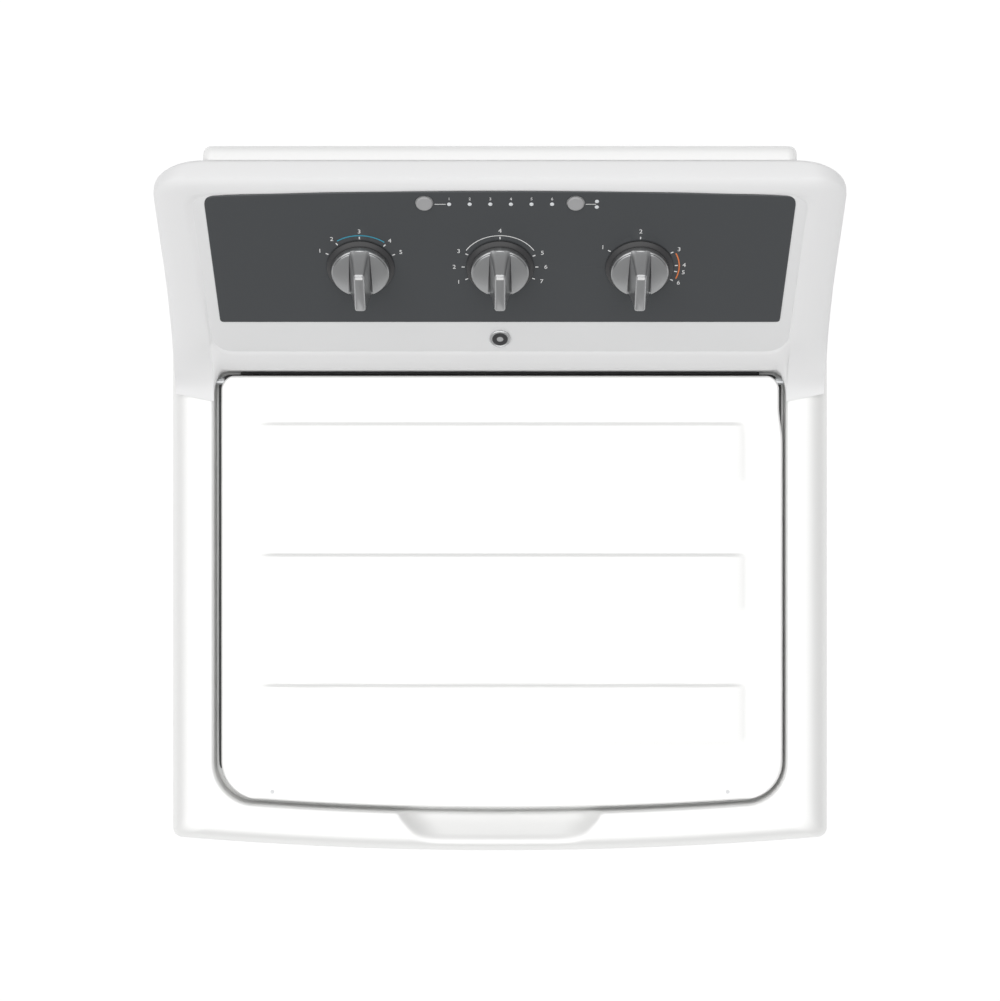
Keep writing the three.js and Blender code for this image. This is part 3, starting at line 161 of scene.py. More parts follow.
def make_piece(name: str, verts: Array, faces: list[list[int]], sharp_deg: float = SHARP) -> bpy.types.Object:
    """Turn vertices and faces into a closed, outward facing, smooth shaded object at the origin.

    Args:
        name: Piece name.
        verts: (n, 3) places in metres.
        faces: Vertex numbers of each face.
        sharp_deg: Edges bent more than this stay sharp.

    Returns:
        The linked object.
    """
    mesh = bpy.data.meshes.new(name)
    mesh.from_pydata(np.asarray(verts, float).tolist(), [], faces)
    bm = bmesh.new()
    bm.from_mesh(mesh)
    bmesh.ops.remove_doubles(bm, verts=bm.verts, dist=2e-6)
    bmesh.ops.dissolve_degenerate(bm, edges=bm.edges, dist=1e-7)
    bmesh.ops.recalc_face_normals(bm, faces=bm.faces)
    bm.to_mesh(mesh)
    bm.free()
    mesh.shade_smooth()
    mesh.set_sharp_from_angle(angle=math.radians(sharp_deg))
    piece = bpy.data.objects.new(name, mesh)
    bpy.context.scene.collection.objects.link(piece)
    return piece


def loft(name: str, rings: Array, loop: bool = False, sharp_deg: float = SHARP) -> bpy.types.Object:
    """Skin a stack of closed rings: side quads between rings, and a flat cap on each end unless it loops.

    Args:
        name: Piece name.
        rings: (k, n, 3) array.
        loop: The last ring joins the first, so there are no caps.
        sharp_deg: See make_piece.

    Returns:
        The object.
    """
    k, n = rings.shape[:2]
    faces = grid_faces(k, n, loop, True).tolist()
    if not loop:
        faces += [list(range(n)), list(range((k - 1) * n, k * n))]
    return make_piece(name, rings.reshape(-1, 3), faces, sharp_deg)


def turn(
    name: str, profile: Array, segments: int = 96, centre: tuple = (0.0, 0.0), loop: bool = True,
    sharp_deg: float = SHARP,
) -> bpy.types.Object:
    """Turn a profile of (radius, height) rows about a vertical axis: x = r cos a, y = r sin a.

    Args:
        name: Piece name.
        profile: (k, 2) array, closed on itself, or starting and ending on the axis.
        segments: Steps round.
        centre: The axis in X and Y.
        loop: Whether the profile closes on itself.
        sharp_deg: See make_piece.

    Returns:
        The object.
    """
    verts = turned_points(profile, segments, centre)
    faces = grid_faces(len(profile), segments, loop, True).tolist()
    return make_piece(name, verts.reshape(-1, 3), faces, sharp_deg)


def turned_points(profile: Array, segments: int, centre: tuple = (0.0, 0.0)) -> Array:
    """Return the (k, segments, 3) grid of a turned profile.

    Args:
        profile: Rows of radius and height.
        segments: Steps round.
        centre: The axis in X and Y.

    Returns:
        The grid.
    """
    a = np.linspace(0.0, 2 * math.pi, segments, endpoint=False)
    r, z = profile[:, 0][:, None], profile[:, 1][:, None]
    return np.stack([centre[0] + r * np.cos(a), centre[1] + r * np.sin(a), z + 0 * a], -1)


def join_pieces(name: str, parts: list[bpy.types.Object]) -> bpy.types.Object:
    """Merge several closed meshes into one object called name, in the order given.

    Args:
        name: The whole piece's name.
        parts: The meshes, which are used up.

    Returns:
        The object.
    """
    bm = bmesh.new()
    for part in parts:
        bm.from_mesh(part.data)
        bpy.data.objects.remove(part)
    mesh = bpy.data.meshes.new(name)
    bm.to_mesh(mesh)
    bm.free()
    mesh.shade_smooth()
    mesh.set_sharp_from_angle(angle=math.radians(SHARP))
    whole = bpy.data.objects.new(name, mesh)
    bpy.context.scene.collection.objects.link(whole)
    return whole


@dataclass(frozen=True)
class Outline:
    """A rectangle in X and Y with round corners and a front edge that bows out.

    The front edge is y = front + bow * (x / straight half length) squared.
    """

    half: float
    front: float
    back: float
    bow: float
    front_corner: float
    back_corner: float

    def inset(self, by: float) -> Outline:
        """Return the same outline drawn in by a distance (negative draws it out)."""
        return Outline(
            self.half - by, self.front + by, self.back - by, self.bow,
            max(self.front_corner - by, 0.2 * MM), max(self.back_corner - by, 0.2 * MM),
        )

    def points(self, along: int = 200, beside: int = 60, corner: int = 10) -> Array:
        """Points round the outline, the same count on each stretch whatever its size.

        Args:
            along: Points on the front and on the back edge.
            beside: Points on each side.
            corner: Points on each corner.

        Returns:
            An (n, 2) array that runs front, right, back, left.
        """
        fr, br, low = self.front_corner, self.back_corner, self.front + self.bow
        x = np.linspace(-1, 1, along)
        front = np.stack([x * (self.half - fr), self.front + self.bow * x**2], -1)
        a = np.linspace(-math.pi / 2, 0, corner + 2)[1:-1]
        right_front = np.stack([self.half - fr + fr * np.cos(a), low + fr + fr * np.sin(a)], -1)
        y = np.linspace(low + fr, self.back - br, beside)
        right = np.stack([np.full(beside, self.half), y], -1)
        a = np.linspace(0, math.pi / 2, corner + 2)[1:-1]
        right_back = np.stack([self.half - br + br * np.cos(a), self.back - br + br * np.sin(a)], -1)
        back = np.stack([-x * (self.half - br), np.full(along, self.back)], -1)
        flip = np.array([-1.0, 1.0])
        return np.concatenate([
            front, right_front, right, right_back, back, right_back[::-1] * flip, right[::-1] * flip,
            right_front[::-1] * flip,
        ])


def at_height(flat: Array, z: float | Array) -> Array:
    """Return (n, 2) points as (n, 3) points at height z."""
    return np.concatenate([flat, np.broadcast_to(np.asarray(z, float), (len(flat),))[:, None]], -1)


# ---- finishes -----------------------------------------------------------------------------------
class Effect(Enum):
    """Shader node groups that several finishes share."""

    GRAIN = "fine_grain"
    DUST = "resting_dust"
    BRUSHED = "brushed_lines"


def _group(name: str, inputs: list[tuple], outputs: list[str]) -> tuple:
    """Start a node group with float inputs (name, default) and float outputs, and return it with its ends.

    Args:
        name: The group's name.
        inputs: Names and defaults of its inputs.
        outputs: Names of its outputs.

    Returns:
        The group, its input node and its output node.
    """
    group = bpy.data.node_groups.new(name, "ShaderNodeTree")
    for label, default in inputs:
        socket = group.interface.new_socket(name=label, in_out="INPUT", socket_type="NodeSocketFloat")
        socket.default_value = default
    for label in outputs:
        group.interface.new_socket(name=label, in_out="OUTPUT", socket_type="NodeSocketFloat")
    return group, group.nodes.new("NodeGroupInput"), group.nodes.new("NodeGroupOutput")


def add_node(
    tree: bpy.types.NodeTree, kind: str, values: dict, feeds: dict, **settings: str
) -> bpy.types.Node:
    """Add a shader node, set its settings and sockets, and link other nodes' sockets into it.

    Args:
        tree: The node tree it goes in.
        kind: The node's type, without the leading ShaderNode.
        values: Values of its input sockets, by name or number.
        feeds: Output sockets that feed its inputs, by name or number.
        **settings: Properties of the node, set before its sockets.

    Returns:
        The node.
    """
    node = tree.nodes.new("ShaderNode" + kind)
    for key, value in settings.items():
        setattr(node, key, value)
    for socket, value in values.items():
        node.inputs[socket].default_value = value
    for socket, source in feeds.items():
        tree.links.new(source, node.inputs[socket])
    return node


def build_effects() -> None:
    """Build the shared node groups once, each from noise over Object coordinates."""
    scales = [("Scale", 900.0), ("Blotch Scale", 14.0)]
    group, start, end = _group(Effect.GRAIN.value, scales, ["Height", "Blotch"])
    place = add_node(group, "TexCoord", {}, {}).outputs["Object"]
    for scale, detail, result in (("Scale", 3.0, "Height"), ("Blotch Scale", 4.0, "Blotch")):
        feeds = {"Vector": place, "Scale": start.outputs[scale]}
        noise = add_node(group, "TexNoise", {"Detail": detail}, feeds)
        group.links.new(noise.outputs["Fac"], end.inputs[result])

    group, start, end = _group(Effect.DUST.value, [("Amount", 0.1), ("Scale", 60.0)], ["Mask"])
    place = add_node(group, "TexCoord", {}, {}).outputs["Object"]
    speck = add_node(group, "TexNoise", {"Detail": 6.0}, {"Vector": place, "Scale": start.outputs["Scale"]})
    normal = add_node(group, "NewGeometry", {}, {}).outputs["Normal"]
    split = add_node(group, "SeparateXYZ", {}, {0: normal})
    upward = add_node(group, "Math", {1: 0.0}, {0: split.outputs["Z"]}, operation="MAXIMUM")
    thin = add_node(group, "Math", {}, {0: upward.outputs[0], 1: speck.outputs["Fac"]}, operation="MULTIPLY")
    feeds = {0: thin.outputs[0], 1: start.outputs["Amount"]}
    scaled = add_node(group, "Math", {}, feeds, operation="MULTIPLY")
    group.links.new(scaled.outputs[0], end.inputs["Mask"])

    group, start, end = _group(Effect.BRUSHED.value, [("Scale", 300.0)], ["Height"])
    place = add_node(group, "TexCoord", {}, {}).outputs["Object"]
    stretch = add_node(group, "Mapping", {"Scale": (1.0, 1.0, 0.03)}, {"Vector": place})
    feeds = {"Vector": stretch.outputs["Vector"], "Scale": start.outputs["Scale"]}
    lines = add_node(group, "TexNoise", {"Detail": 4.0}, feeds)
    group.links.new(lines.outputs["Fac"], end.inputs["Height"])


DUST_COLOUR = (0.62, 0.6, 0.57, 1.0)
BUMP_DISTANCE = 0.4 * MM


@dataclass(frozen=True)
class Finish:
    """One material: its colour and gloss, the grain of its surface and how much dust rests on it."""

    name: str
    colour: Colour
    roughness: float
    metallic: float = 0.0
    coat: float = 0.0
    coat_roughness: float = 0.05
    grain: float = 0.05
    grain_scale: float = 900.0
    vary: float = 0.02
    dust: float = 0.02
    brushed: bool = False
    ior: float = 1.5
    lit: float = 0.0

    def build(self) -> bpy.types.Material:
        """Return the node material: colour and roughness vary with the blotch, bump follows the grain."""
        found = bpy.data.materials.get(self.name)
        if found:
            return found
        material = bpy.data.materials.new(self.name)
        material.use_nodes = True
        tree = material.node_tree
        shader = tree.nodes["Principled BSDF"]
        shader.inputs["Metallic"].default_value = self.metallic
        shader.inputs["IOR"].default_value = self.ior
        shader.inputs["Coat Weight"].default_value = self.coat
        shader.inputs["Coat Roughness"].default_value = self.coat_roughness
        if self.brushed:
            shader.inputs["Anisotropic"].default_value = 0.5
        grain = self.effect(tree, Effect.GRAIN)
        grain.inputs["Scale"].default_value = self.grain_scale
        dust = self.effect(tree, Effect.DUST)
        dust.inputs["Amount"].default_value = self.dust
        blotch = grain.outputs["Blotch"]
        darker = [c * (1.0 - 2 * self.vary) for c in self.colour]
        ends = {"A": (*self.colour, 1.0), "B": (*darker, 1.0)}
        tone = add_node(tree, "Mix", ends, {"Factor": blotch}, data_type="RGBA")
        feeds = {"A": tone.outputs["Result"], "Factor": dust.outputs["Mask"]}
        dusty = add_node(tree, "Mix", {"B": DUST_COLOUR}, feeds, data_type="RGBA")
        tree.links.new(dusty.outputs["Result"], shader.inputs["Base Color"])
        span = {"To Min": max(self.roughness - 0.04, 0.02), "To Max": self.roughness + 0.05}
        rough = add_node(tree, "MapRange", span, {"Value": blotch})
        tree.links.new(rough.outputs["Result"], shader.inputs["Roughness"])
        relief = self.effect(tree, Effect.BRUSHED) if self.brushed else grain
        depth = {"Strength": self.grain, "Distance": BUMP_DISTANCE}
        bump = add_node(tree, "Bump", depth, {"Height": relief.outputs["Height"]})
        tree.links.new(bump.outputs["Normal"], shader.inputs["Normal"])
        if self.lit:
            shader.inputs["Emission Color"].default_value = (1.0, 1.0, 1.0, 1.0)
            shader.inputs["Emission Strength"].default_value = self.lit
        return material

    def effect(self, tree: bpy.types.NodeTree, kind: Effect) -> bpy.types.Node:
        """Place one of the shared node groups in a material's tree.

        Args:
            tree: The material's tree.
            kind: Which group.

        Returns:
            The group node.
        """
        node = tree.nodes.new("ShaderNodeGroup")
        node.node_tree = bpy.data.node_groups[kind.value]
        return node


ENAMEL = Finish(
    "white_enamel", (0.84, 0.84, 0.84), 0.24,
    coat=0.3, grain=0.03, grain_scale=500.0, vary=0.002, dust=0.003,
)
WHITE = Finish("white_plastic", (0.82, 0.82, 0.82), 0.3, grain=0.05, vary=0.005, dust=0.01)
CONSOLE_WHITE = Finish("console_white", (0.8, 0.8, 0.803), 0.3, grain=0.04, vary=0.002, dust=0.003)
FASCIA = Finish(
    "dark_fascia", (0.028, 0.028, 0.03), 0.08,
    coat=0.8, coat_roughness=0.03, grain=0.02, vary=0.03, dust=0.004,
)
SILVER = Finish(
    "silver_paint", (0.44, 0.445, 0.45), 0.3, metallic=0.85,
    coat=0.2, grain=0.05, vary=0.02, dust=0.01,
)
BRIGHT = Finish(
    "bright_silver", (0.62, 0.625, 0.63), 0.26, metallic=0.6,
    coat=0.3, grain=0.04, vary=0.02, dust=0.01,
)
SKIRT = Finish("knob_skirt_dark", (0.035, 0.035, 0.037), 0.4, grain=0.05, vary=0.03, dust=0.01)
OVERLAY = Finish("overlay_silver", (0.76, 0.762, 0.765), 0.34, grain=0.05, vary=0.01, dust=0.004)
PALE = Finish("pale_cap", (0.66, 0.67, 0.68), 0.3, grain=0.04, vary=0.01, dust=0.01)
BUTTON = Finish("button_grey", (0.36, 0.36, 0.365), 0.36, grain=0.04, vary=0.01, dust=0.01)
LENS = Finish("lamp_lens", (0.7, 0.72, 0.74), 0.2, coat=0.4, grain=0.02, dust=0.0)
# White ink for the printed marks; the same finish paints the highlight strip on each knob's grip.
WHITE_INK_AND_HIGHLIGHT = Finish("printed_white", (0.78, 0.78, 0.78), 0.5, grain=0.05, vary=0.03, dust=0.0)
INK_BLUE = Finish("printed_blue", (0.04, 0.3, 0.42), 0.5, grain=0.05, vary=0.03, dust=0.0)
INK_ORANGE = Finish("printed_orange", (0.75, 0.2, 0.05), 0.5, grain=0.05, vary=0.03, dust=0.0)
STEEL = Finish(
    "zinc_steel", (0.5, 0.51, 0.52), 0.38,
    metallic=1.0, grain=0.15, grain_scale=60.0, vary=0.12, dust=0.06,
)
STAINLESS = Finish("stainless", (0.62, 0.62, 0.61), 0.24, metallic=1.0, grain=0.2, vary=0.05, brushed=True)
GREY = Finish("grey_plastic", (0.34, 0.35, 0.36), 0.55, grain=0.3, vary=0.06, dust=0.08)
BLACK = Finish("black_plastic", (0.025, 0.025, 0.027), 0.45, grain=0.25, vary=0.05, dust=0.04)
RUBBER = Finish("black_rubber", (0.018, 0.018, 0.019), 0.7, grain=0.5, grain_scale=400.0, vary=0.1, dust=0.06)
# Near black finish for the painted shade ring that darkens the gap round the lid.
GAP_SHADE = Finish("seal_grey", (0.07, 0.07, 0.072), 0.6, grain=0.3, grain_scale=400.0, vary=0.05, dust=0.03)
AGITATOR = Finish("agitator_plastic", (0.6, 0.64, 0.7), 0.3, grain=0.06, vary=0.02, dust=0.01)
MOTOR = Finish(
    "motor_steel", (0.14, 0.15, 0.16), 0.42,
    metallic=0.5, grain=0.3, grain_scale=200.0, vary=0.1, dust=0.08,
)
BOARD = Finish("board_green", (0.02, 0.12, 0.05), 0.4, coat=0.3, grain=0.2, vary=0.1, dust=0.05)
FLOOR = Finish("floor_white", (0.1, 0.1, 0.1), 0.9, grain=0.02, vary=0.002, dust=0.0, lit=0.92)

SLOT_FINISH = {
    "white_enamel": ENAMEL, "white_plastic": WHITE, "dark_fascia": FASCIA, "silver_knob": SILVER,
    "pale_cap": PALE, "zinc_steel": STEEL, "stainless": STAINLESS, "grey_plastic": GREY,
    "black_plastic": BLACK, "black_rubber": RUBBER, "agitator_plastic": AGITATOR, "motor_steel": MOTOR,
    "board_green": BOARD,
}


def finish_piece(piece: bpy.types.Object, finish: Finish, body: str, slot: str, *stands_for: str) -> None:
    """Dress a new piece, make it ride on a body and hide the frame nodes it stands for.

    Args:
        piece: The new object.
        finish: Its material.
        body: The body it moves with.
        slot: The record's material slot; not used.
        *stands_for: Frame nodes that it replaces.
    """
    piece.data.materials.clear()
    piece.data.materials.append(finish.build())
    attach(piece, body)
    if stands_for:
        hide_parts(*stands_for)
    LOG.info("%s: %d vertices on %s", piece.name, len(piece.data.vertices), body)


# ---- top cover ----------------------------------------------------------------------------------
@dataclass
class TopCover:
    """The enamelled deck: rounded rails round the lid recess, a finger scoop and the wash opening."""

    skirt_drop: float = 35 * MM
    shoulder_side: float = 29 * MM
    shoulder_front: float = 17 * MM
    shoulder_drop: float = 21 * MM
    rail: float = 45 * MM
    front_rail: float = 41.5 * MM
    recess_depth: float = 25 * MM
    recess_edge: float = 4.0 * MM
    bow: float = 14 * MM
    lid_bow: float = 9 * MM
    opening_side: float = 64 * MM
    opening_front: float = 47 * MM
    opening_back: float = 35 * MM
    opening_lip: float = 20 * MM
    sheet: float = 2.5 * MM
    scoop_half: float = 103 * MM
    scoop_taper: float = 30 * MM
    scoop_depth: float = 16 * MM
    scoop_wall: float = 34 * MM
    low: Vector = field(init=False)
    high: Vector = field(init=False)

    def __post_init__(self) -> None:
        """Take the cover's box from the frame."""
        self.low, self.high = (Vector(v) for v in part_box("top_cover"))

    @property
    def deck(self) -> float:
        """Height of the deck."""
        return self.high.z

    def outer(self) -> Outline:
        """Return the outline of the skirt."""
        return Outline(self.high.x, self.low.y, self.high.y, self.bow, 10 * MM, 6 * MM)

    def recess(self) -> Outline:
        """Return the outline of the lid recess."""
        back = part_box("console_housing")[1][1] - 198.5 * MM
        front = self.low.y + self.front_rail
        return Outline(self.high.x - self.rail, front, back, self.lid_bow, 44 * MM, 16 * MM)

    def scoop(self, x: Array, y: Array) -> Array:
        """How far the scoop falls below the deck.

        The floor falls in a straight line from the front edge to the recess. Each end is a hollow wall:
        one less (1 - t) to the power 2.6, where t runs from the wall's top. The ends draw in to the front.

        Args:
            x: Places across.
            y: Places back.

        Returns:
            Depths in metres.
        """
        front = self.low.y + 5 * MM
        inside = self.low.y + self.front_rail
        run = np.clip((y - front) / (inside - front), 0.0, 1.25)
        half = self.scoop_half - self.scoop_taper * (1 - np.clip(run, 0, 1)) ** 1.3
        t = np.clip((half + 5 * MM - np.abs(x)) / self.scoop_wall, 0, 1)
        t = 1.13 * t**2 / (t + 0.13)
        across = 1 - (1 - np.minimum(t, 1)) ** 2.6
        floor = self.scoop_depth * run * ease(run / 0.35)
        return np.where(y < inside + 5 * MM, floor * across, 0.0)

    def build(self) -> None:
        """Stack rings from the skirt's foot over shoulder and rail, into the recess and back underneath."""
        outer, recess = self.outer(), self.recess()
        deck = self.deck
        rim = outer.points()
        shoulder = Outline(
            outer.half - self.shoulder_side, outer.front + self.shoulder_front, outer.back - 4 * MM,
            self.bow * 0.85, 20 * MM, 6 * MM,
        ).points()
        edge = recess.inset(-self.recess_edge).points()
        wall = recess.points()
        foot = deck - self.skirt_drop
        rings = [at_height(rim, foot + 1 * MM), at_height(rim, deck - self.shoulder_drop - 8 * MM)]
        for angle in np.linspace(math.pi / 2, 0, 12):
            flat = shoulder + (rim - shoulder) * math.sin(angle)
            rings.append(at_height(flat, deck - self.shoulder_drop * (1 - math.cos(angle))))
        for t in np.linspace(0, 1, 14)[1:]:
            rings.append(at_height(shoulder + (edge - shoulder) * t, deck))
        for angle in np.linspace(0, math.pi / 2, 10)[1:]:
            flat = edge + (wall - edge) * math.sin(angle)
            rings.append(at_height(flat, deck - self.recess_edge * (1 - math.cos(angle))))
        floor = deck - self.recess_depth
        for ring in rings[2:]:
            ring[:, 2] = np.maximum(ring[:, 2] - self.scoop(ring[:, 0], ring[:, 1]), floor + 4 * MM)
        below = [at_height(wall, floor + 3 * MM)]
        below += [at_height(recess.inset(k * MM).points(), floor + h * MM) for k, h in ((0.9, 0.9), (3, 0))]
        opening = Outline(
            recess.half - self.opening_side, recess.front + self.opening_front,
            recess.back - self.opening_back, 0.0, 60 * MM, 60 * MM,
        )
        for by, drop in ((-4 * MM, 0.0), (-1 * MM, 1 * MM), (0.0, 4 * MM), (0.0, self.opening_lip)):
            below.append(at_height(opening.inset(by).points(), floor - drop))
        out = opening.inset(-self.sheet).points()
        below += [at_height(out, floor - self.opening_lip), at_height(out, floor - self.sheet)]
        below += [at_height(recess.inset(-self.sheet).points(), floor - self.sheet)]
        under = shoulder + (edge - shoulder) * 0.5
        low_rail = at_height(under, deck - self.sheet)
        low_rail[:, 2] -= self.scoop(low_rail[:, 0], low_rail[:, 1])
        tuck = at_height(recess.inset(-self.sheet).points(), deck - self.recess_edge - self.sheet)
        tuck[:, 2] -= self.scoop(tuck[:, 0], tuck[:, 1] - self.sheet)
        tuck[:, 2] = np.maximum(tuck[:, 2], floor - self.sheet + 0.5 * MM)
        inner = outer.inset(self.sheet).points()
        below += [tuck, low_rail]
        below += [at_height(shoulder + (inner - shoulder) * 0.7, deck - self.sheet - 6.0 * MM)]
        below += [at_height(inner, deck - self.shoulder_drop - 3 * MM), at_height(inner, foot)]
        below.append(at_height(outer.inset(0.8 * MM).points(), foot))
        cover = loft("top_cover_shell", np.stack(rings + below), loop=True)
        finish_piece(cover, ENAMEL, "cabinet", "white_enamel", "top_cover")
        # Painted shade: a dark ring under the lid's gap.
        self.build_gap_shade(recess, floor)

    def build_gap_shade(self, recess: Outline, floor: float) -> None:
        """A dark ring of painted shade on the recess floor under the lid's gap, which makes the gap read dark
        and sinks into the floor at the front.

        Args:
            recess: Outline of the lid recess.
            floor: Height of its floor.
        """
        rings = []
        for by, up in mm((3.0, 0.2), (3.0, 2.4), (3.8, 3.2), (8.5, 3.2), (9.5, 2.2), (9.5, 0.2)):
            rings.append(at_height(recess.inset(by).points(120, 60, 10), floor + up))
        strip = np.stack(rings)
        sunk = ease((recess.front + 95 * MM - strip[..., 1]) / (55 * MM))
        strip[..., 2] = floor + (strip[..., 2] - floor) * (1 - 0.9 * sunk) - 0.4 * MM * sunk
        # Painted shade: this dark strip stands for the shade in the gap round the lid.
        finish_piece(loft("recess_seal", strip, loop=True), GAP_SHADE, "cabinet", "black_rubber")


# ---- lid ----------------------------------------------------------------------------------------
@dataclass
class Lid:
    """The wash lid: a crowned pressing with three low raised bands, and a liner beneath."""

    edge: float = 2.6 * MM
    sideways: float = 2 * MM
    draw_in: float = 3.6 * MM
    corner_front: float = 40 * MM
    corner_back: float = 14 * MM
    bow: float = 9 * MM
    crown: float = 1.2 * MM
    band_height: float = 2.6 * MM
    band_half: float = 254 * MM
    band_side: float = 20 * MM
    band_back: float = 2.6 * MM
    band_front: float = 14 * MM
    wall: float = 2.5 * MM
    bands: tuple = ((20 * MM, 91 * MM), (-114 * MM, -46 * MM), (-251 * MM, -182.5 * MM))

    def __post_init__(self) -> None:
        """Take the lid's box and the deck height from the frame."""
        low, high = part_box("lid_outer")
        self.half, self.front, self.back, self.bottom = high[0], low[1], high[1], low[2]
        self.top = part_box("top_cover")[1][2]

    def side(self, y: Array) -> Array:
        """Half width at y: the straight half width less what the corner circles take away.

        Args:
            y: Places back.

        Returns:
            Half widths in metres.
        """
        near = np.clip(self.corner_front - (y - (self.front + self.bow)), 0, self.corner_front)
        far = np.clip(self.corner_back - (self.back - y), 0, self.corner_back)
        cut_near = self.corner_front - np.sqrt(np.maximum(self.corner_front**2 - near**2, 0))
        cut_far = self.corner_back - np.sqrt(np.maximum(self.corner_back**2 - far**2, 0))
        return self.half - cut_near - cut_far

    def spacing(self) -> tuple[Array, Array]:
        """Return column places in -1..1 and row places in 0..1, close together near the edges."""
        reach = self.half
        fine = np.array([0, 0.2, 0.5, 0.9, 1.4, 2.0, 2.7, 3.6, 5.5]) * MM / reach
        edge = 1 - 9 * MM / reach
        cols = np.concatenate([-1 + fine, np.linspace(-1 + 9 * MM / reach, edge, 196), (1 - fine)[::-1]])
        length = self.back - self.front
        tight = np.array([0, 0.2, 0.5, 0.9, 1.4, 2.0, 2.7, 3.6, 5.5, 8, 10.5, 12.5]) * MM / length
        edge = 14 * MM / length
        rows = np.concatenate([tight, np.linspace(edge, 1 - edge, 210), (1 - tight)[::-1]])
        return cols, rows

    def height(self, x: Array, y: Array, gap: Array) -> Array:
        """Height of the top face over the deck.

        A crown falls off with the square of x and y, an edge circle falls with the distance from the rim,
        and each band is the product of smooth steps on its four sides.

        Args:
            x: Places across.
            y: Places back.
            gap: Distance from the rim.

        Returns:
            Heights in metres.
        """
        middle = (self.front + self.back) / 2
        crown = self.crown * (1 - (x / self.half) ** 2) * (1 - ((y - middle) / (self.back - middle)) ** 2)
        d = np.clip(self.edge - gap, 0, self.edge)
        edge = self.edge - np.sqrt(np.maximum(self.edge**2 - d**2, 0))
        t = np.clip((self.band_half - np.abs(x)) / self.band_side, 0, 1)
        sides = (1 - (1 - t) ** 2) * 0.8 + 0.2 * ease((self.band_half - np.abs(x)) / (2 * MM))
        raised = sum(
            ease((y - near) / self.band_front) * ease((far - y) / self.band_back) for near, far in self.bands
        )
        return crown - edge + self.band_height * sides * raised

    def build(self) -> None:
        """Build the pressing as a grid whose rim runs down into a skirt."""
        cols, rows = self.spacing()
        straight = self.half - self.corner_front
        y_flat = (self.front + self.bow) + rows * (self.back - self.front - self.bow)
        half = self.side(y_flat)
        x = half[:, None] * cols[None, :]
        lift = self.bow * (1 - np.clip(np.abs(x) / straight, 0, 1) ** 2)
        fall = np.clip(1 - rows / 0.5, 0, 1)[:, None]
        y = y_flat[:, None] - lift * fall
        ends = np.minimum(y - (self.front + self.bow - lift), self.back - y)
        gap = np.minimum(half[:, None] - np.abs(x), ends)
        corner = half < self.half - 1e-6
        gap = np.where(corner[:, None], np.minimum(gap, (half[:, None] - np.abs(x)) * 0.8), gap)
        z = self.top + self.height(x, y, np.maximum(gap, 0))
        draw = self.draw_in * ease((y - 70 * MM) / (38 * MM)) * np.maximum(x, 0) / self.half
        grid = np.stack([x + self.sideways - draw, y, z], -1)
        n_rows, n_cols = grid.shape[:2]
        faces = grid_faces(n_rows, n_cols, False, False).tolist()
        number = np.arange(n_rows * n_cols).reshape(n_rows, n_cols)
        rim = np.concatenate([number[0, :-1], number[:-1, -1], number[-1, :0:-1], number[:0:-1, 0]])
        loop = grid.reshape(-1, 3)[rim]
        ahead = np.roll(loop, -1, axis=0) - np.roll(loop, 1, axis=0)
        inward = np.stack([-ahead[:, 1], ahead[:, 0]], -1)
        inward /= np.maximum(np.linalg.norm(inward, axis=1), 1e-9)[:, None]
        rings = []
        for inset, z_ring in (
            (0, self.bottom + 1 * MM), (0.3 * MM, self.bottom + 0.2 * MM), (1.2 * MM, self.bottom),
            (self.wall, self.bottom + 0.6 * MM), (self.wall, self.top - self.edge - self.wall),
        ):
            rings.append(at_height(loop[:, :2] + inward * inset, z_ring))
        start = n_rows * n_cols
        count = len(rim)
        verts = np.concatenate([grid.reshape(-1, 3), *rings])
        skirt = grid_faces(len(rings), count, False, True) + start
        below = start + np.arange(count)
        first = np.stack([rim, np.roll(rim, -1), np.roll(below, -1), below], -1)
        ceiling = [list(range(start + (len(rings) - 1) * count, start + len(rings) * count))]
        lid = make_piece("lid_pressing", verts, faces + first.tolist() + skirt.tolist() + ceiling, 50.0)
        finish_piece(lid, ENAMEL, "lid", "white_enamel", "lid_outer")
        self.build_plugs()
        # Painted shade strip in the gap behind the lid.
        self.build_gap_shade()

    def build_gap_shade(self) -> None:
        """A black strip of painted shade on the recess floor under the gap behind the lid, which makes that
        gap read dark.
        """
        floor = self.top - 21.6 * MM
        section = mm((141.2, 0), (144.4, 0), (144.4, 10), (141.2, 9)) + (0, floor)
        profile = rounded(section, 0.8 * MM, 4)
        x = np.linspace(-272 * MM, 272 * MM, 40)
        rings = np.stack([np.stack([np.full(len(profile), v), profile[:, 0], profile[:, 1]], -1) for v in x])
        # Painted shade: the black rubber finish here only darkens the gap behind the lid.
        finish_piece(loft("lid_rear_seal", rings), RUBBER, "cabinet", "black_rubber")

    def build_plugs(self) -> None:
        """Two tiny round plugs near the front corners."""
        profile = rounded(mm((0, -0.5), (2.0, -0.5), (2.0, 0.5), (0, 0.7)), 0.3 * MM, closed=False)
        for name, sx in (("lid_plug_left", -1), ("lid_plug_right", 1)):
            shifted = profile + np.array([0, self.top])
            plug = turn(name, shifted, 20, (sx * 238 * MM, -295 * MM), loop=False)
            finish_piece(plug, PALE, "lid", "white_enamel")


# ---- console ------------------------------------------------------------------------------------
# Places on the face: rows up it and columns across it, from the panel's middle.
PANEL_LENGTH = 163.4 * MM
KNOB_ROW = -10.5 * MM
KNOB_PITCH = 140 * MM
TOP_ROW = PANEL_LENGTH / 2 - 14.5 * MM
BUTTON_X = 74.6 * MM
BUTTON_ROW = TOP_ROW + 3.0 * MM
LAMP_ROW = TOP_ROW + 1.6 * MM
LAMPS = [(k - 2.5) * 20.3 * MM + 0.6 * MM for k in range(6)]
BADGE_ROW = -105 * MM
ZONE_LOW = -124.5 * MM
# Rows of the console's section that lie on the face.
FACE_FIRST = 19
FACE_END = 115


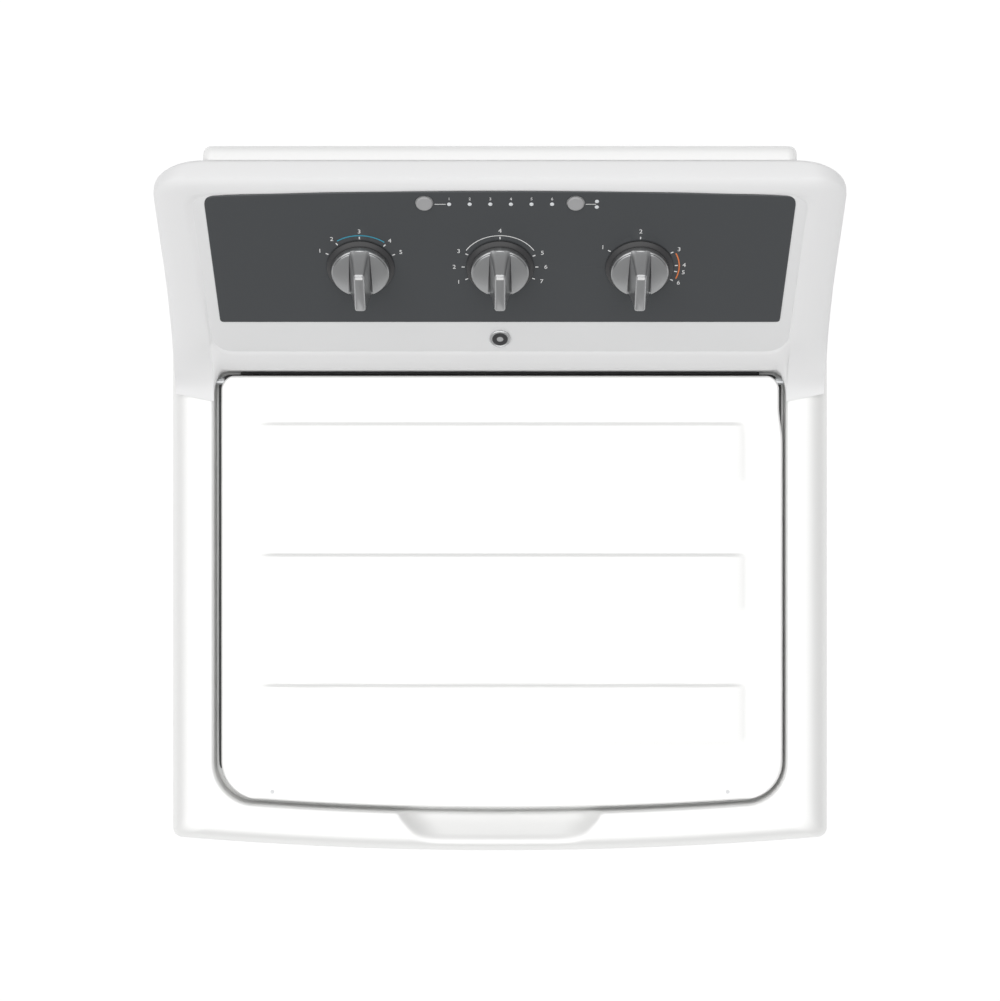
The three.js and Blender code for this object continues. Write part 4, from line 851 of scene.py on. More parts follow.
@dataclass
class Face:
    """The console face's own axes: x across, y up the slope, z out of the face."""

    origin: Array
    up: Array
    out: Array

    @classmethod
    def from_frame(cls, joints: list[dict]) -> Face:
        """Take the slope from the cycle knob's joint and the middle from the control panel's box.

        Args:
            joints: The frame's joints.

        Returns:
            The face.
        """
        joint = next(j for j in joints if j["name"] == "cycle_turn")
        out = np.array(joint["axis"], float)
        out /= np.linalg.norm(out)
        up = np.array([0.0, out[2], -out[1]])
        low, high = (np.array(v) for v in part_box("control_panel"))
        top = np.array([0.0, high[1], high[2]])
        lower = np.array([0.0, low[1], low[2]])
        thick = 3 * MM
        middle = (top + lower) / 2
        return cls(middle + out * thick / 2, up, out)

    def place(self, local: Array) -> Array:
        """Return points given on the face's axes as points of the frame."""
        local = np.asarray(local, float)
        return (
            self.origin + local[..., 0:1] * np.array([1.0, 0, 0]) + local[..., 1:2] * self.up
            + local[..., 2:3] * self.out
        )

    def move(self, piece: bpy.types.Object, offset: tuple = (0.0, 0.0, 0.0)) -> bpy.types.Object:
        """Carry a mesh modelled on the face's axes, and shifted along them, to its place and return it.

        Args:
            piece: The mesh.
            offset: The shift on the face's axes.

        Returns:
            The same object.
        """
        count = len(piece.data.vertices)
        flat = np.empty(count * 3)
        piece.data.vertices.foreach_get("co", flat)
        piece.data.vertices.foreach_set("co", self.place(flat.reshape(-1, 3) + np.array(offset)).ravel())
        piece.data.update()
        return piece


@dataclass
class Console:
    """The sloped console: housing, rear cover, panel, knobs, buttons, lights and printed marks."""

    face: Face
    lip: float = 198.5 * MM
    wing_front: float = 32 * MM
    wing_slant: float = 8 * MM
    inner_corner: float = 12 * MM
    end_round: float = 34 * MM
    end_face: float = 12 * MM
    end_roof: float = 26 * MM
    end_back: float = 28 * MM
    end_back_run: float = 50 * MM
    flare: float = 4.0 * MM
    recess_x: float = 299 * MM
    zone_half_top: float = 305 * MM
    zone_half_low: float = 297 * MM
    zone_corner: float = 24 * MM
    zone_depth: float = 1.3 * MM

    def __post_init__(self) -> None:
        """Take the housing's box from the frame."""
        self.low, self.high = (Vector(v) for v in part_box("console_housing"))
        self.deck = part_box("top_cover")[1][2]

    def main_profile(self, q: float = 0.0, q_back: float = 0.0) -> Array:
        """The middle section as (y, z) rows, from the lip's foot over the face and roll down the back.

        Args:
            q: How far the face and roof have drawn in towards a round end, from 0 to 1.
            q_back: The same for the back.

        Returns:
            The same count of rows whatever q is.
        """
        lip, back = self.high.y - self.lip + self.end_face * q, self.high.y - self.end_back * q_back
        deck = self.deck
        slope, out = self.face.up[1:], self.face.out[1:]
        toe = np.array([self.high.y - self.lip + 13 * MM, deck + 35 * MM]) - out * self.end_face * q
        top = deck + 190 * MM - self.end_roof * q
        brow = toe + slope * (top - 5.5 * MM - toe[1]) / slope[1]
        start = toe + slope * 5 * MM
        end = brow - slope * 2 * MM
        width = back - brow[0]
        ridge = (brow[0] + min(10 * MM, 0.45 * width), top)
        shelf = min(3 * MM, 0.1 * width)
        fall = 0.16 * (back - ridge[0])
        edge = (back, top - fall - 4 * MM)
        parts = [
            np.linspace((lip, deck + 0.4 * MM), (lip, deck + 9 * MM), 5)[:-1],
            bezier((lip, deck + 9 * MM), (lip, deck + 23 * MM), tuple(start), 16)[:-1],
            np.linspace(start, end, 90)[:-1],
            bezier(tuple(end), tuple(brow + slope * 5.0 * MM), ridge, 12)[:-1],
            bezier(ridge, (ridge[0] + 4 * MM, top), (back - shelf, top - fall), 8)[:-1],
            bezier((back - shelf, top - fall), (back, top - fall - 0.5 * MM), edge, 6)[:-1],
            np.linspace(edge, (back, deck + 0.4 * MM), 8),
        ]
        return np.concatenate(parts)

    def wing_profile(self, main: Array) -> Array:
        """The section beside the lid: the same, but the toe sweeps forward in a hollow curve.

        Args:
            main: The middle section.

        Returns:
            The same count of rows as main.
        """
        lip, deck = self.high.y - self.lip, self.deck
        front = lip - self.wing_front
        start = main[FACE_FIRST]
        foot = (front, deck + 2.2 * MM)
        head = tuple(start + np.array([1, 1]) * 12 * MM)
        rise = np.linspace((front, deck + 0.4 * MM), foot, 5)[:-1]
        swept = np.concatenate([rise, bezier(foot, (lip - 2 * MM, deck + 6 * MM), head, 27)[:-1]])
        return np.concatenate([swept, main[len(swept):]])

    def columns(self) -> Array:
        """Places across: close at the ends, round the inner corners and at the zone's crease."""
        half = self.high.x
        a = np.linspace(0, math.pi / 2, 22)
        start = half - self.end_back_run
        end = start + self.end_back_run * np.sin(a)
        inner = self.recess_x - self.inner_corner * (1 - np.sin(np.linspace(0, math.pi / 2, 9)))
        right = np.concatenate([np.linspace(0, self.recess_x - self.inner_corner, 118)[1:], inner[1:], end])
        right = np.unique(np.round(right, 6))
        return np.concatenate([-right[::-1], [0.0], right])

    def zone_gap(self, x: Array, v: Array) -> Array:
        """Signed distance, negative inside, to the round cornered outline of the shallow zone on the face.

        Args:
            x: Places across the face.
            v: Places up the face.

        Returns:
            Distances in metres.
        """
        low = ZONE_LOW
        spread = self.zone_half_top - self.zone_half_low
        half = self.zone_half_low + spread * np.clip((v - low) / (200 * MM), 0, 1)
        high = PANEL_LENGTH / 2 + 3.5 * MM - 6 * MM * (x / self.zone_half_top) ** 2
        r = np.where(v > 0, 14 * MM, self.zone_corner)
        dx = np.abs(x) - (half - r)
        dv = np.maximum((low + r) - v, v - (high - r))
        return np.hypot(np.maximum(dx, 0), np.maximum(dv, 0)) + np.minimum(np.maximum(dx, dv), 0) - r

    def build_housing(self) -> None:
        """Carry the profile across, blend it to the wings beside the lid and round off both ends.

        Each end draws in as a quarter ellipse: q = 1 - sqrt(1 - d squared), where d runs from 0 to 1 over the
        last stretch, and the drawing in fades away towards the deck.
        """
        main = self.main_profile()
        x = self.columns()
        d = np.clip((np.abs(x) - (self.high.x - self.end_round)) / self.end_round, 0, 1)
        drawn = 1 - np.sqrt(np.maximum(1 - d**2, 0))
        d = np.clip((np.abs(x) - (self.high.x - self.end_back_run)) / self.end_back_run, 0, 1)
        drawn_back = 1 - np.sqrt(np.maximum(1 - d**2, 0))
        t = np.clip((np.abs(x) - (self.recess_x - self.inner_corner)) / self.inner_corner, 0, 1)
        blend = 1 - np.sqrt(np.maximum(1 - t**2, 0))
        slant = np.clip((np.abs(x) - self.recess_x) / (self.high.x - self.recess_x), 0, 1) * self.wing_slant
        plain = main[None] * (1 - blend[:, None, None]) + self.wing_profile(main)[None] * blend[:, None, None]
        pulled = np.stack([self.main_profile(a, b) for a, b in zip(drawn, drawn_back)])
        wings = np.stack([self.wing_profile(p) for p in pulled])
        pulled = pulled * (1 - blend[:, None, None]) + wings * blend[:, None, None]
        above = ease((plain[..., 1] - self.deck - 4 * MM) / (50 * MM))[..., None]
        section = plain * (1 - above) + pulled * above
        reach = np.clip(1 - (section[..., 0] - (self.high.y - self.lip - self.wing_front)) / (30 * MM), 0, 1)
        section[..., 0] += slant[:, None] * reach
        along = (section[..., 0] - self.face.origin[1]) * self.face.up[1]
        along += (section[..., 1] - self.face.origin[2]) * self.face.up[2]
        sunk = self.zone_depth * ease(0.5 - self.zone_gap(x[:, None] + 0 * along, along) / (2.5 * MM))
        on_face = np.zeros(section.shape[1])
        on_face[FACE_FIRST:FACE_END] = 1.0
        section[..., 0] -= self.face.out[1] * sunk * on_face
        section[..., 1] -= self.face.out[2] * sunk * on_face
        lifted = ease((section[..., 1] - self.deck - 70 * MM) / (110 * MM))
        spread = 1 + (self.flare / self.high.x) * lifted * (np.abs(x) / self.high.x)[:, None] ** 6
        rings = np.concatenate([(x[:, None] * spread)[..., None], section], -1)
        housing = loft("console_shell", rings, sharp_deg=60.0)
        finish_piece(housing, CONSOLE_WHITE, "cabinet", "white_plastic", "console_housing")

    def build_overlay(self) -> None:
        """The silver grey overlay that fills the shallow zone round the panel."""
        low, top = ZONE_LOW, PANEL_LENGTH / 2 - 1 * MM
        r = self.zone_corner
        half_low, half_top = self.zone_half_low, self.zone_half_top
        rings = []
        for inset, z in ((1.4 * MM, -1.2 * MM), (1.4 * MM, -0.95 * MM), (1.7 * MM, -0.85 * MM)):
            right = [
                (half_low - inset, low + inset), (half_top - inset, top - 10 * MM - inset),
                (half_top - 14 * MM, top - inset),
            ]
            left = [(-x, y) for x, y in right[::-1]]
            corners = [left[-1], *right, *left[:-1]]
            flat = np.concatenate([rounded(corners, r, 12)[:24], rounded(corners, 8 * MM, 12)[24:]])
            rings.append(at_height(flat, z))
        plate = self.face.move(loft("face_overlay", np.stack(rings)))
        finish_piece(plate, OVERLAY, "cabinet", "white_plastic")

    def build_rear_cover(self) -> None:
        """A shallow pan on the console's back, its rim rounded and its back slightly crowned."""
        low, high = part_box("console_rear_cover")
        half, bottom, top = high[0] + 2 * MM, low[2], high[2]
        middle = (bottom + top) / 2
        rise = (top - bottom) / 2
        rings = []
        rim = mm((0, -9), (0.7, -5.2), (2.6, -2), (5.2, -0.6), (9, 0)) + (0, high[1])
        for inset, y in ((0, low[1] - 0.25 * MM), *rim):
            corner = 11 * MM - inset
            flat = Outline(half - inset, -rise + inset, rise - inset, 0, corner, corner).points(60, 30, 8)
            rings.append(np.stack([flat[:, 0], np.full(len(flat), y), flat[:, 1] + middle], -1))
        cover = loft("console_rear_shell", np.stack(rings))
        finish_piece(cover, WHITE, "cabinet", "white_plastic", "console_rear_cover")

    def panel_outline(self, inset: float) -> Array:
        """The panel's outline on the face: straight foot, sides that spread upwards, and an arched top.

        Args:
            inset: How far the outline is drawn in.

        Returns:
            An (n, 2) array on the face.
        """
        length = PANEL_LENGTH
        low, high = -length / 2 - 1.4 * MM + inset, length / 2 + 2.8 * MM - inset
        foot, head = 286 * MM - inset, 292 * MM - inset
        rise = 6.0 * MM
        corner, small = 12 * MM, 4 * MM
        start = [(foot - 20 * MM, low), (foot, low)]
        shoulder = [(head, high - rise), (head - 30 * MM, high - rise + 1.0 * MM)]
        side = rounded(start + shoulder, corner, 9, False)
        foot_part = rounded([*start, ((foot + head) / 2, 0)], small, 7, False)[:-1]
        right = np.concatenate([foot_part[7:-7], side[18:-9]])
        x = np.linspace(head - corner - 6 * MM, -(head - corner - 6 * MM), 80)
        arch = np.stack([x, high - rise * (x / head) ** 2], -1)
        return np.concatenate([right, arch, right[::-1] * np.array([-1.0, 1.0])])

    def build_panel(self) -> None:
        """The dark panel with a small round on its edge, cut through for the buttons and the knob shafts."""
        edge = mm((0, -2.7), (0, -0.5), (0.15, -0.15), (0.5, 0.1), (1.1, 0.2))
        rings = [at_height(self.panel_outline(inset), z) for inset, z in edge]
        panel = loft("fascia_plate", np.stack(rings))
        cutters = []
        holes = [(side * BUTTON_X, BUTTON_ROW, 8.9 * MM) for side in (-1, 1)]
        holes += [(k * KNOB_PITCH, KNOB_ROW, 5 * MM) for k in (-1, 0, 1)]
        for x, y, r in holes:
            profile = np.array([(0, -9), (1, -9), (1, 4), (0, 4)], float) * np.array([r, MM])
            cutters.append(turn("cutter", profile, 48, (x, y), loop=False))
        cutter = join_pieces("panel_cutter", cutters)
        carve = panel.modifiers.new("holes", "BOOLEAN")
        carve.operation = "DIFFERENCE"
        carve.solver = "EXACT"
        carve.object = cutter
        carved = bpy.data.meshes.new_from_object(panel.evaluated_get(bpy.context.evaluated_depsgraph_get()))
        panel.modifiers.clear()
        panel.data = carved
        bpy.data.objects.remove(cutter)
        for polygon in carved.polygons:
            polygon.use_smooth = polygon.area < 60 * MM * MM
        self.face.move(panel)
        finish_piece(panel, FASCIA, "cabinet", "dark_fascia", "control_panel")

    def build_badge(self) -> None:
        """A plain domed disc in a rim, with a dark ring let into it, below the panel."""
        disc = mm((0, -0.8), (11, -0.8), (11, 0.9), (9.6, 1.5), (9.2, 0.8), (0, 1.3))
        profile = rounded(disc, 0.5 * MM, closed=False)
        badge = self.face.move(turn("round_badge", profile, 64, (0, BADGE_ROW), loop=False))
        finish_piece(badge, BRIGHT, "cabinet", "silver_knob", "badge")
        inlay = rounded(mm((3.4, 0.5), (8.0, 0.5), (8.0, 1.5), (3.4, 1.7)), 0.3 * MM)
        ring = self.face.move(turn("round_badge_inlay", inlay, 48, (0, BADGE_ROW)))
        finish_piece(ring, SKIRT, "cabinet", "silver_knob")

    def build_buttons(self) -> None:
        """Two round caps with a dished middle."""
        dished = mm((0, -0.5), (8.4, -0.5), (8.4, 1.6), (7, 2.6), (0, 2.0))
        profile = rounded(dished, 0.9 * MM, closed=False)
        for name, side in (("extra_rinse", -1), ("start", 1)):
            node = "button_" + name
            cap = self.face.move(turn(node + "_cap", profile, 56, (side * BUTTON_X, BUTTON_ROW), loop=False))
            finish_piece(cap, BUTTON, name + "_button", "pale_cap", node)

    def build_lights(self) -> None:
        """Eight small domed lenses."""
        places = [(x, LAMP_ROW) for x in LAMPS]
        places += [(95.5 * MM, TOP_ROW + 5.1 * MM), (95.5 * MM, TOP_ROW - 1.9 * MM)]
        profile = rounded(mm((0, -0.4), (2.1, -0.4), (2.1, 0.5), (0, 0.9)), 0.5 * MM, 4, False)
        lenses = join_pieces("indicator_lenses", [turn("lens", profile, 24, p, loop=False) for p in places])
        finish_piece(self.face.move(lenses), LENS, "cabinet", "pale_cap")

    def build(self) -> None:
        """Build every piece of the console."""
        self.build_housing()
        self.build_overlay()
        self.build_rear_cover()
        self.build_panel()
        self.build_badge()
        self.build_buttons()
        self.build_lights()
        for name, k in (("water_level", -1), ("cycle", 0), ("temperature", 1)):
            Knob(self.face, name, k * KNOB_PITCH).build()
        Marks(self.face).build()


@dataclass
class Knob:
    """A silver disc with a bevelled rim over a dark skirt, and a tall tapered grip right across it."""

    face: Face
    name: str
    x: float
    radius: float = 29 * MM
    skirt: float = 34 * MM
    disc_top: float = 12 * MM
    grip_top: float = 37 * MM

    def grip(self) -> bpy.types.Object:
        """The grip: stacked stadium rings that narrow from 20 to 10 mm while the upper end rakes back."""
        rings = []
        tip = 1 - 0.07 * np.cos(np.linspace(0, math.pi / 2, 7))[1:]
        for t in np.concatenate([np.linspace(0, 0.93, 12), tip]):
            flare = 5.0 * MM * np.exp(-t * 9)
            edge = 1.6 * MM * (1 - math.sqrt(max(1 - max((t - 0.93) / 0.07, 0) ** 2, 0)))
            half = (10.4 - 5.2 * t**0.8) * MM - edge + flare * 0.35
            low = -self.radius * 0.99 + 1.0 * MM * t + edge
            high = self.radius * 0.99 - 10.5 * MM * t**0.9 - edge
            z = self.disc_top - 2 * MM + t * (self.grip_top - self.disc_top + 2 * MM)
            flat = Outline(half, low, high, 0.0, half * 0.5, half * 0.5).points(12, 40, 8)
            rings.append(at_height(flat, z))
        return loft("grip", np.stack(rings), sharp_deg=50)

    def cheek(self, side: int) -> bpy.types.Object:
        """A raised part moon on one side of the grip, bounded by a chord that leans in and the disc's arc.

        Args:
            side: 1 on the right of the grip, -1 on its left.

        Returns:
            The mesh on the knob's own axes.
        """
        reach = self.radius - 1.2 * MM
        a = np.linspace(-1.12, 1.2, 40)
        arc = np.stack([reach * np.cos(a), reach * np.sin(a)], -1)
        if side < 0:
            arc = arc[::-1] * np.array([-1.0, 1.0])
        middle = arc.mean(axis=0) * np.array([0.8, 1.0])
        steps = ((1.0, -1.2), (1.0, 0.7), (0.975, 1.1), (0.95, 1.25))
        rings = [at_height(middle + (arc - middle) * k, self.disc_top + h * MM) for k, h in steps]
        return loft("cheek", np.stack(rings), sharp_deg=24)

    def build(self) -> None:
        """Build the cap, the skirt and a white strip of painted highlight on the grip on the face's axes,
        then carry them to their place.
        """
        r, top = self.radius, self.disc_top
        disc = rounded([
            (0, 3 * MM), (r - 2 * MM, 3 * MM), (r, 5 * MM), (r, top - 1.6 * MM), (r - 1.8 * MM, top),
            (r - 2.6 * MM, top - 0.8 * MM), (0, top - 0.8 * MM),
        ], 0.5 * MM, 4, False)
        parts = [turn("disc", disc, 96, loop=False, sharp_deg=30), self.grip(), self.cheek(1), self.cheek(-1)]
        cap = join_pieces("knob_" + self.name + "_cap", parts)
        skirt = rounded([
            (0, 0.6 * MM), (self.skirt, 0.6 * MM), (self.skirt, 2.2 * MM), (r + 1 * MM, 4.4 * MM),
            (r - 3 * MM, 4.6 * MM), (0, 4.6 * MM),
        ], 0.8 * MM, 4, False)
        base = turn("knob_" + self.name + "_skirt", skirt, 96, loop=False)
        # Painted highlight: a white strip at the grip's raked upper end stands for the light caught where the
        # rake meets the top, and also reads as the pointer.
        highlight_y = self.radius * 0.99 - 12.0 * MM
        highlight_outline = Outline(3.6 * MM, highlight_y - 3.4 * MM, highlight_y, 0.0, 0.6 * MM, 0.6 * MM).points(4, 3, 3)
        levels = (self.grip_top - 0.6 * MM, self.grip_top + 0.25 * MM)
        rings = np.stack([at_height(highlight_outline, z) for z in levels])
        highlight_strip = loft("knob_" + self.name + "_pointer", rings, sharp_deg=30)
        dressed = ((cap, SILVER, ("knob_" + self.name,)), (base, SKIRT, ()), (highlight_strip, WHITE_INK_AND_HIGHLIGHT, ()))
        for piece, finish, nodes in dressed:
            self.face.move(piece, (self.x, KNOB_ROW, 0.0))
            finish_piece(piece, finish, self.name + "_knob", "silver_knob", *nodes)


@dataclass
class Marks:
    """Printed ticks, arcs and plain numbers round the knobs."""

    face: Face
    height: float = 0.32 * MM
    base: float = 0.16 * MM

    def film(self, flat: Array) -> bpy.types.Object:
        """Return a thin closed film with this outline on the face."""
        rings = np.stack([at_height(flat, self.base), at_height(flat, self.height)])
        return loft("film", rings, sharp_deg=20)

    def strip(self, centre: tuple, radii: tuple, angles: tuple, steps: int = 24) -> bpy.types.Object:
        """A thin sector of a ring.

        Args:
            centre: Its centre on the face.
            radii: The inner and the outer radius.
            angles: Its two ends in degrees, clockwise from twelve o'clock.
            steps: Points along each edge.

        Returns:
            The film.
        """
        (r0, r1), (a0, a1) = radii, angles
        a = np.radians(90 - np.linspace(a0, a1, steps))
        inner = np.stack([centre[0] + r0 * np.cos(a), centre[1] + r0 * np.sin(a)], -1)
        outer = np.stack([centre[0] + r1 * np.cos(a), centre[1] + r1 * np.sin(a)], -1)[::-1]
        return self.film(np.concatenate([inner, outer]))

    def number(self, text: str, centre: tuple, size: float) -> bpy.types.Object:
        """A numeral of the given height, flat on the face and centred at a point.

        Args:
            text: The numeral.
            centre: Its middle on the face.
            size: Its height.

        Returns:
            The film.
        """
        curve = bpy.data.curves.new("numeral", "FONT")
        curve.body = text
        curve.size = size
        curve.extrude = (self.height - self.base) / 2
        curve.align_x = "CENTER"
        curve.align_y = "CENTER"
        holder = bpy.data.objects.new("numeral", curve)
        bpy.context.scene.collection.objects.link(holder)
        bpy.context.view_layer.update()
        mesh = bpy.data.meshes.new_from_object(holder.evaluated_get(bpy.context.evaluated_depsgraph_get()))
        bpy.data.objects.remove(holder)
        mesh.transform(Matrix.Translation((centre[0], centre[1], (self.height + self.base) / 2)))
        piece = bpy.data.objects.new("numeral", mesh)
        bpy.context.scene.collection.objects.link(piece)
        return piece

    def around(self, x: float, angles: list[float], radius: float) -> list[bpy.types.Object]:
        """Return a tick and a numeral at each angle round a knob.

        Args:
            x: The knob's place across.
            angles: Degrees clockwise from twelve o'clock.
            radius: How far out the numerals stand.

        Returns:
            The films.
        """
        centre = (x, KNOB_ROW)
        parts = []
        for i, angle in enumerate(angles):
            parts.append(self.strip(centre, (35.5 * MM, 38.5 * MM), (angle - 0.9, angle + 0.9), 3))
            a = math.radians(90 - angle)
            place = (x + radius * math.cos(a), KNOB_ROW + radius * math.sin(a))
            parts.append(self.number(str(i + 1), place, 7.0 * MM))
        return parts

    def build(self) -> None:
        """Build the white, blue and orange prints, each as one piece."""
        left, right = -KNOB_PITCH, KNOB_PITCH
        white = self.around(left, [-63, -38, 0, 42, 65], 45 * MM)
        white += self.around(0.0, [-115, -90, -64, 0, 67, 90, 114], 46 * MM)
        white += self.around(right, [-56, 0, 60, 87, 99, 117], 45 * MM)
        white.append(self.strip((0.0, KNOB_ROW), (39.6 * MM, 40.4 * MM), (-58, 58), 40))
        for x, run in ((-BUTTON_X, 21), (BUTTON_X, 20)):
            lead = mm((10, -0.3), (run, -0.3), (run, 0.3), (10, 0.3))
            white.append(self.film(lead + (x, LAMP_ROW)))
        for k, x in enumerate(LAMPS):
            white.append(self.number(str(k + 1), (x, TOP_ROW + 8 * MM), 4.6 * MM))
        band = (39.4 * MM, 40.6 * MM)
        blue = [self.strip((left, KNOB_ROW), band, (-34, 38), 30)]
        orange = [self.strip((right, KNOB_ROW), band, (64, 112), 24)]
        prints = (("white", white, WHITE_INK_AND_HIGHLIGHT), ("blue", blue, INK_BLUE), ("orange", orange, INK_ORANGE))
        for name, parts, ink in prints:
            piece = self.face.move(join_pieces("marks_" + name, parts))
            finish_piece(piece, ink, "cabinet", "dark_fascia")


# ---- cabinet ------------------------------------------------------------------------------------
@dataclass
class Cabinet:
    """The bowed front sheet, rebuilt as one smooth bend."""

    bow: float = 14 * MM
    corner: float = 11 * MM
    sheet: float = 1.6 * MM

    def build(self) -> None:
        """Offset the panel's outline inwards and stand both between its foot and its top."""
        low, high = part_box("front_panel")
        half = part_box("side_panel_right")[1][0]
        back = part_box("side_panel_right")[0][1] - 0.3 * MM
        front = low[1]
        x = np.linspace(-1, 1, 90)
        straight = half - self.corner
        edge = np.stack([x * straight, front + self.bow * x**2], -1)
        a = np.linspace(-math.pi / 2, 0, 12)[1:]
        centre_y = front + self.bow + self.corner
        corner = np.stack([straight + self.corner * np.cos(a), centre_y + self.corner * np.sin(a)], -1)
        end = np.array([[half, back]])
        path = np.concatenate([end * [-1, 1], corner[::-1] * [-1, 1], edge, corner, end])
        ahead = np.gradient(path, axis=0)
        inward = np.stack([-ahead[:, 1], ahead[:, 0]], -1)
        inward /= np.linalg.norm(inward, axis=1)[:, None]
        flat = np.concatenate([path, (path + inward * self.sheet)[::-1]])
        rings = np.stack([at_height(flat, z) for z in (low[2], low[2] + 1 * MM, high[2] - 1 * MM, high[2])])
        panel = loft("front_sheet", rings, sharp_deg=50)
        finish_piece(panel, ENAMEL, "cabinet", "white_enamel", "front_panel")


# ---- tub, basket and agitator -------------------------------------------------------------------
@dataclass
class WashSystem:
    """What is seen with the lid up: tub ring, balance ring, perforated basket and agitator."""

    holes_round: int = 132
    hole_rows: int = 34

    def build_rings(self) -> None:
        """The tub ring and the balance ring, turned from rounded profiles."""
        low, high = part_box("tub_ring")
        outer, top = high[0] + 0.3 * MM, high[2]
        inner = 240 * MM
        profile = rounded([
            (inner, top - 13 * MM), (inner, top), (outer, top), (outer, low[2]), (outer - 3.6 * MM, low[2]),
            (outer - 3.6 * MM, top - 4 * MM), (inner + 3 * MM, top - 4 * MM), (inner + 3 * MM, top - 13 * MM),
        ], 1.4 * MM, 5)
        finish_piece(turn("tub_ring_moulding", profile, 160), WHITE, "tub", "white_plastic", "tub_ring")
        low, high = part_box("balance_ring")
        outer, foot, top = high[0], low[2], high[2]
        inner = 222 * MM
        profile = rounded([
            (inner, foot + 6 * MM), (inner, top - 8 * MM), (inner + 8 * MM, top - 0.5 * MM),
            (inner + 16 * MM, top), (inner + 18 * MM, top - 2 * MM), (inner + 21 * MM, top - 2 * MM),
            (inner + 23 * MM, top), (outer - 6 * MM, top), (outer, top - 7 * MM), (outer, foot),
            (inner + 8 * MM, foot),
        ], 2.4 * MM, 5)
        ring = turn("balance_ring_moulding", profile, 160)
        finish_piece(ring, WHITE, "basket", "white_plastic", "balance_ring")

    def build_basket(self) -> None:
        """The basket wall: a cylinder of square cells, each pierced by a round hole, on a pressed floor."""
        low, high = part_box("wash_basket")
        radius, floor, rim = high[0], low[2], high[2]
        wall = 1.2 * MM
        bottom, top = floor + 40 * MM, rim - 30 * MM
        rows, cols, around = self.hole_rows, self.holes_round, 8
        cell_a = 2 * math.pi / cols
        cell_z = (top - bottom) / rows
        corner = np.array([(1, 0), (1, 1), (0, 1), (-1, 1), (-1, 0), (-1, -1), (0, -1), (1, -1)], float) / 2
        angle = np.arange(around) * math.pi / 4
        ring = np.stack([np.cos(angle), np.sin(angle)], -1)
        hole = 1.9 * MM
        r_i, c_i = np.meshgrid(np.arange(rows), np.arange(cols), indexing="ij")
        mid = np.stack([(c_i + 0.5) * cell_a, bottom + (r_i + 0.5) * cell_z], -1).reshape(-1, 1, 2)
        outer2 = mid + corner * np.array([cell_a, cell_z])
        inner2 = mid + ring * np.array([hole / radius, hole])
        layers = []
        for flat, r in ((outer2, radius), (inner2, radius), (inner2, radius - wall), (outer2, radius - wall)):
            layers.append(np.stack([r * np.cos(flat[..., 0]), r * np.sin(flat[..., 0]), flat[..., 1]], -1))
        cells = np.stack(layers, 1).reshape(-1, 3)
        base = (np.arange(rows * cols) * 4 * around)[:, None, None]
        quads = (base + grid_faces(4, around, False, True)[None]).reshape(-1, 4)
        head = np.array([(radius, top), (radius, rim), (radius - wall, rim), (radius - wall, top)])
        dish = rounded([(radius, bottom), (radius, floor), (14 * MM, floor)], 14 * MM, 8, False)
        inside = [(14 * MM, floor + wall), (radius - wall, floor + wall), (radius - wall, bottom)]
        back = rounded(inside, 13 * MM, 8, False)
        foot = np.concatenate([dish, back])
        head_v, head_f = self.band(head)
        foot_v, foot_f = self.band(foot)
        verts = np.concatenate([cells, head_v, foot_v])
        faces = np.concatenate([quads, head_f + len(cells), foot_f + len(cells) + len(head_v)])
        basket = make_piece("perforated_basket", verts, faces.tolist(), 30.0)
        finish_piece(basket, STAINLESS, "basket", "stainless", "wash_basket")

    def band(self, profile: Array) -> tuple[Array, Array]:
        """Turn an open profile with a vertex at each half cell, so that it meets the pierced wall.

        Args:
            profile: (k, 2) rows of radius and height.

        Returns:
            Its vertices and its faces.
        """
        around = self.holes_round * 2
        angle = np.arange(around) * (2 * math.pi / self.holes_round) / 2
        r, z = profile[:, 0][:, None], profile[:, 1][:, None]
        verts = np.stack([r * np.cos(angle), r * np.sin(angle), z + 0 * angle], -1)
        return verts.reshape(-1, 3), grid_faces(len(profile), around, False, True)

    def build_agitator(self) -> None:
        """The agitator's bell with four curved vanes, the auger with its screw, and the softener cup."""
        low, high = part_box("agitator_base")
        z, top = low[2], high[2]
        skirt = mm((12.8, 0.2), (23, 0.2), (23, 32), (88, 32), (144, 9), (146, 0.2), (150, 0.2), (149, 12))
        outside = mm((102, 32), (73, 58), (60, 112)) + (0, z)
        mouth = [(56 * MM, top), (56 * MM - 5 * MM, top)]
        inside = mm((52, 112), (66, 58), (84, 38), (12.8, 38)) + (0, z)
        bell = rounded([*(skirt + (0, z)), *outside, *mouth, *inside], 9 * MM, 6)
        parts = [turn("bell", bell, 120)]
        for i in range(4):
            parts.append(self.vane(z, i * math.pi / 2))
        base = join_pieces("agitator_bell", parts)
        finish_piece(base, AGITATOR, "drive", "agitator_plastic", "agitator_base")
        low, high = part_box("agitator_auger")
        foot, head = low[2] + 18 * MM, high[2]
        lower = mm((40, -18), (46, -18), (46, 0.3), (53, 0.3)) + (0, foot)
        upper = mm((48.5, -0.2), (42, -0.2)) + (0, head)
        core = rounded([*lower, *upper, (42 * MM, foot)], 1.2 * MM, 4)
        screw = self.flight(foot + 8 * MM, head - 6 * MM)
        auger = join_pieces("auger_screw", [turn("core", core, 96), screw])
        finish_piece(auger, AGITATOR, "auger", "agitator_plastic", "agitator_auger")
        low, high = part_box("softener_cup")
        foot, head = low[2] + 14 * MM, high[2]
        lower = mm((0, 3), (36, 3), (36, -14), (39.5, -14), (39.5, 0.2), (48, 0.2)) + (0, foot)
        upper = mm((52, -3), (51, 0), (48.5, 0)) + (0, head)
        well = mm((44, 6), (0, 6)) + (0, foot)
        cup = turn("softener_cup_moulding", rounded([*lower, *upper, *well], 1.6 * MM, 5, False), loop=False)
        finish_piece(cup, WHITE, "cup", "white_plastic", "softener_cup")

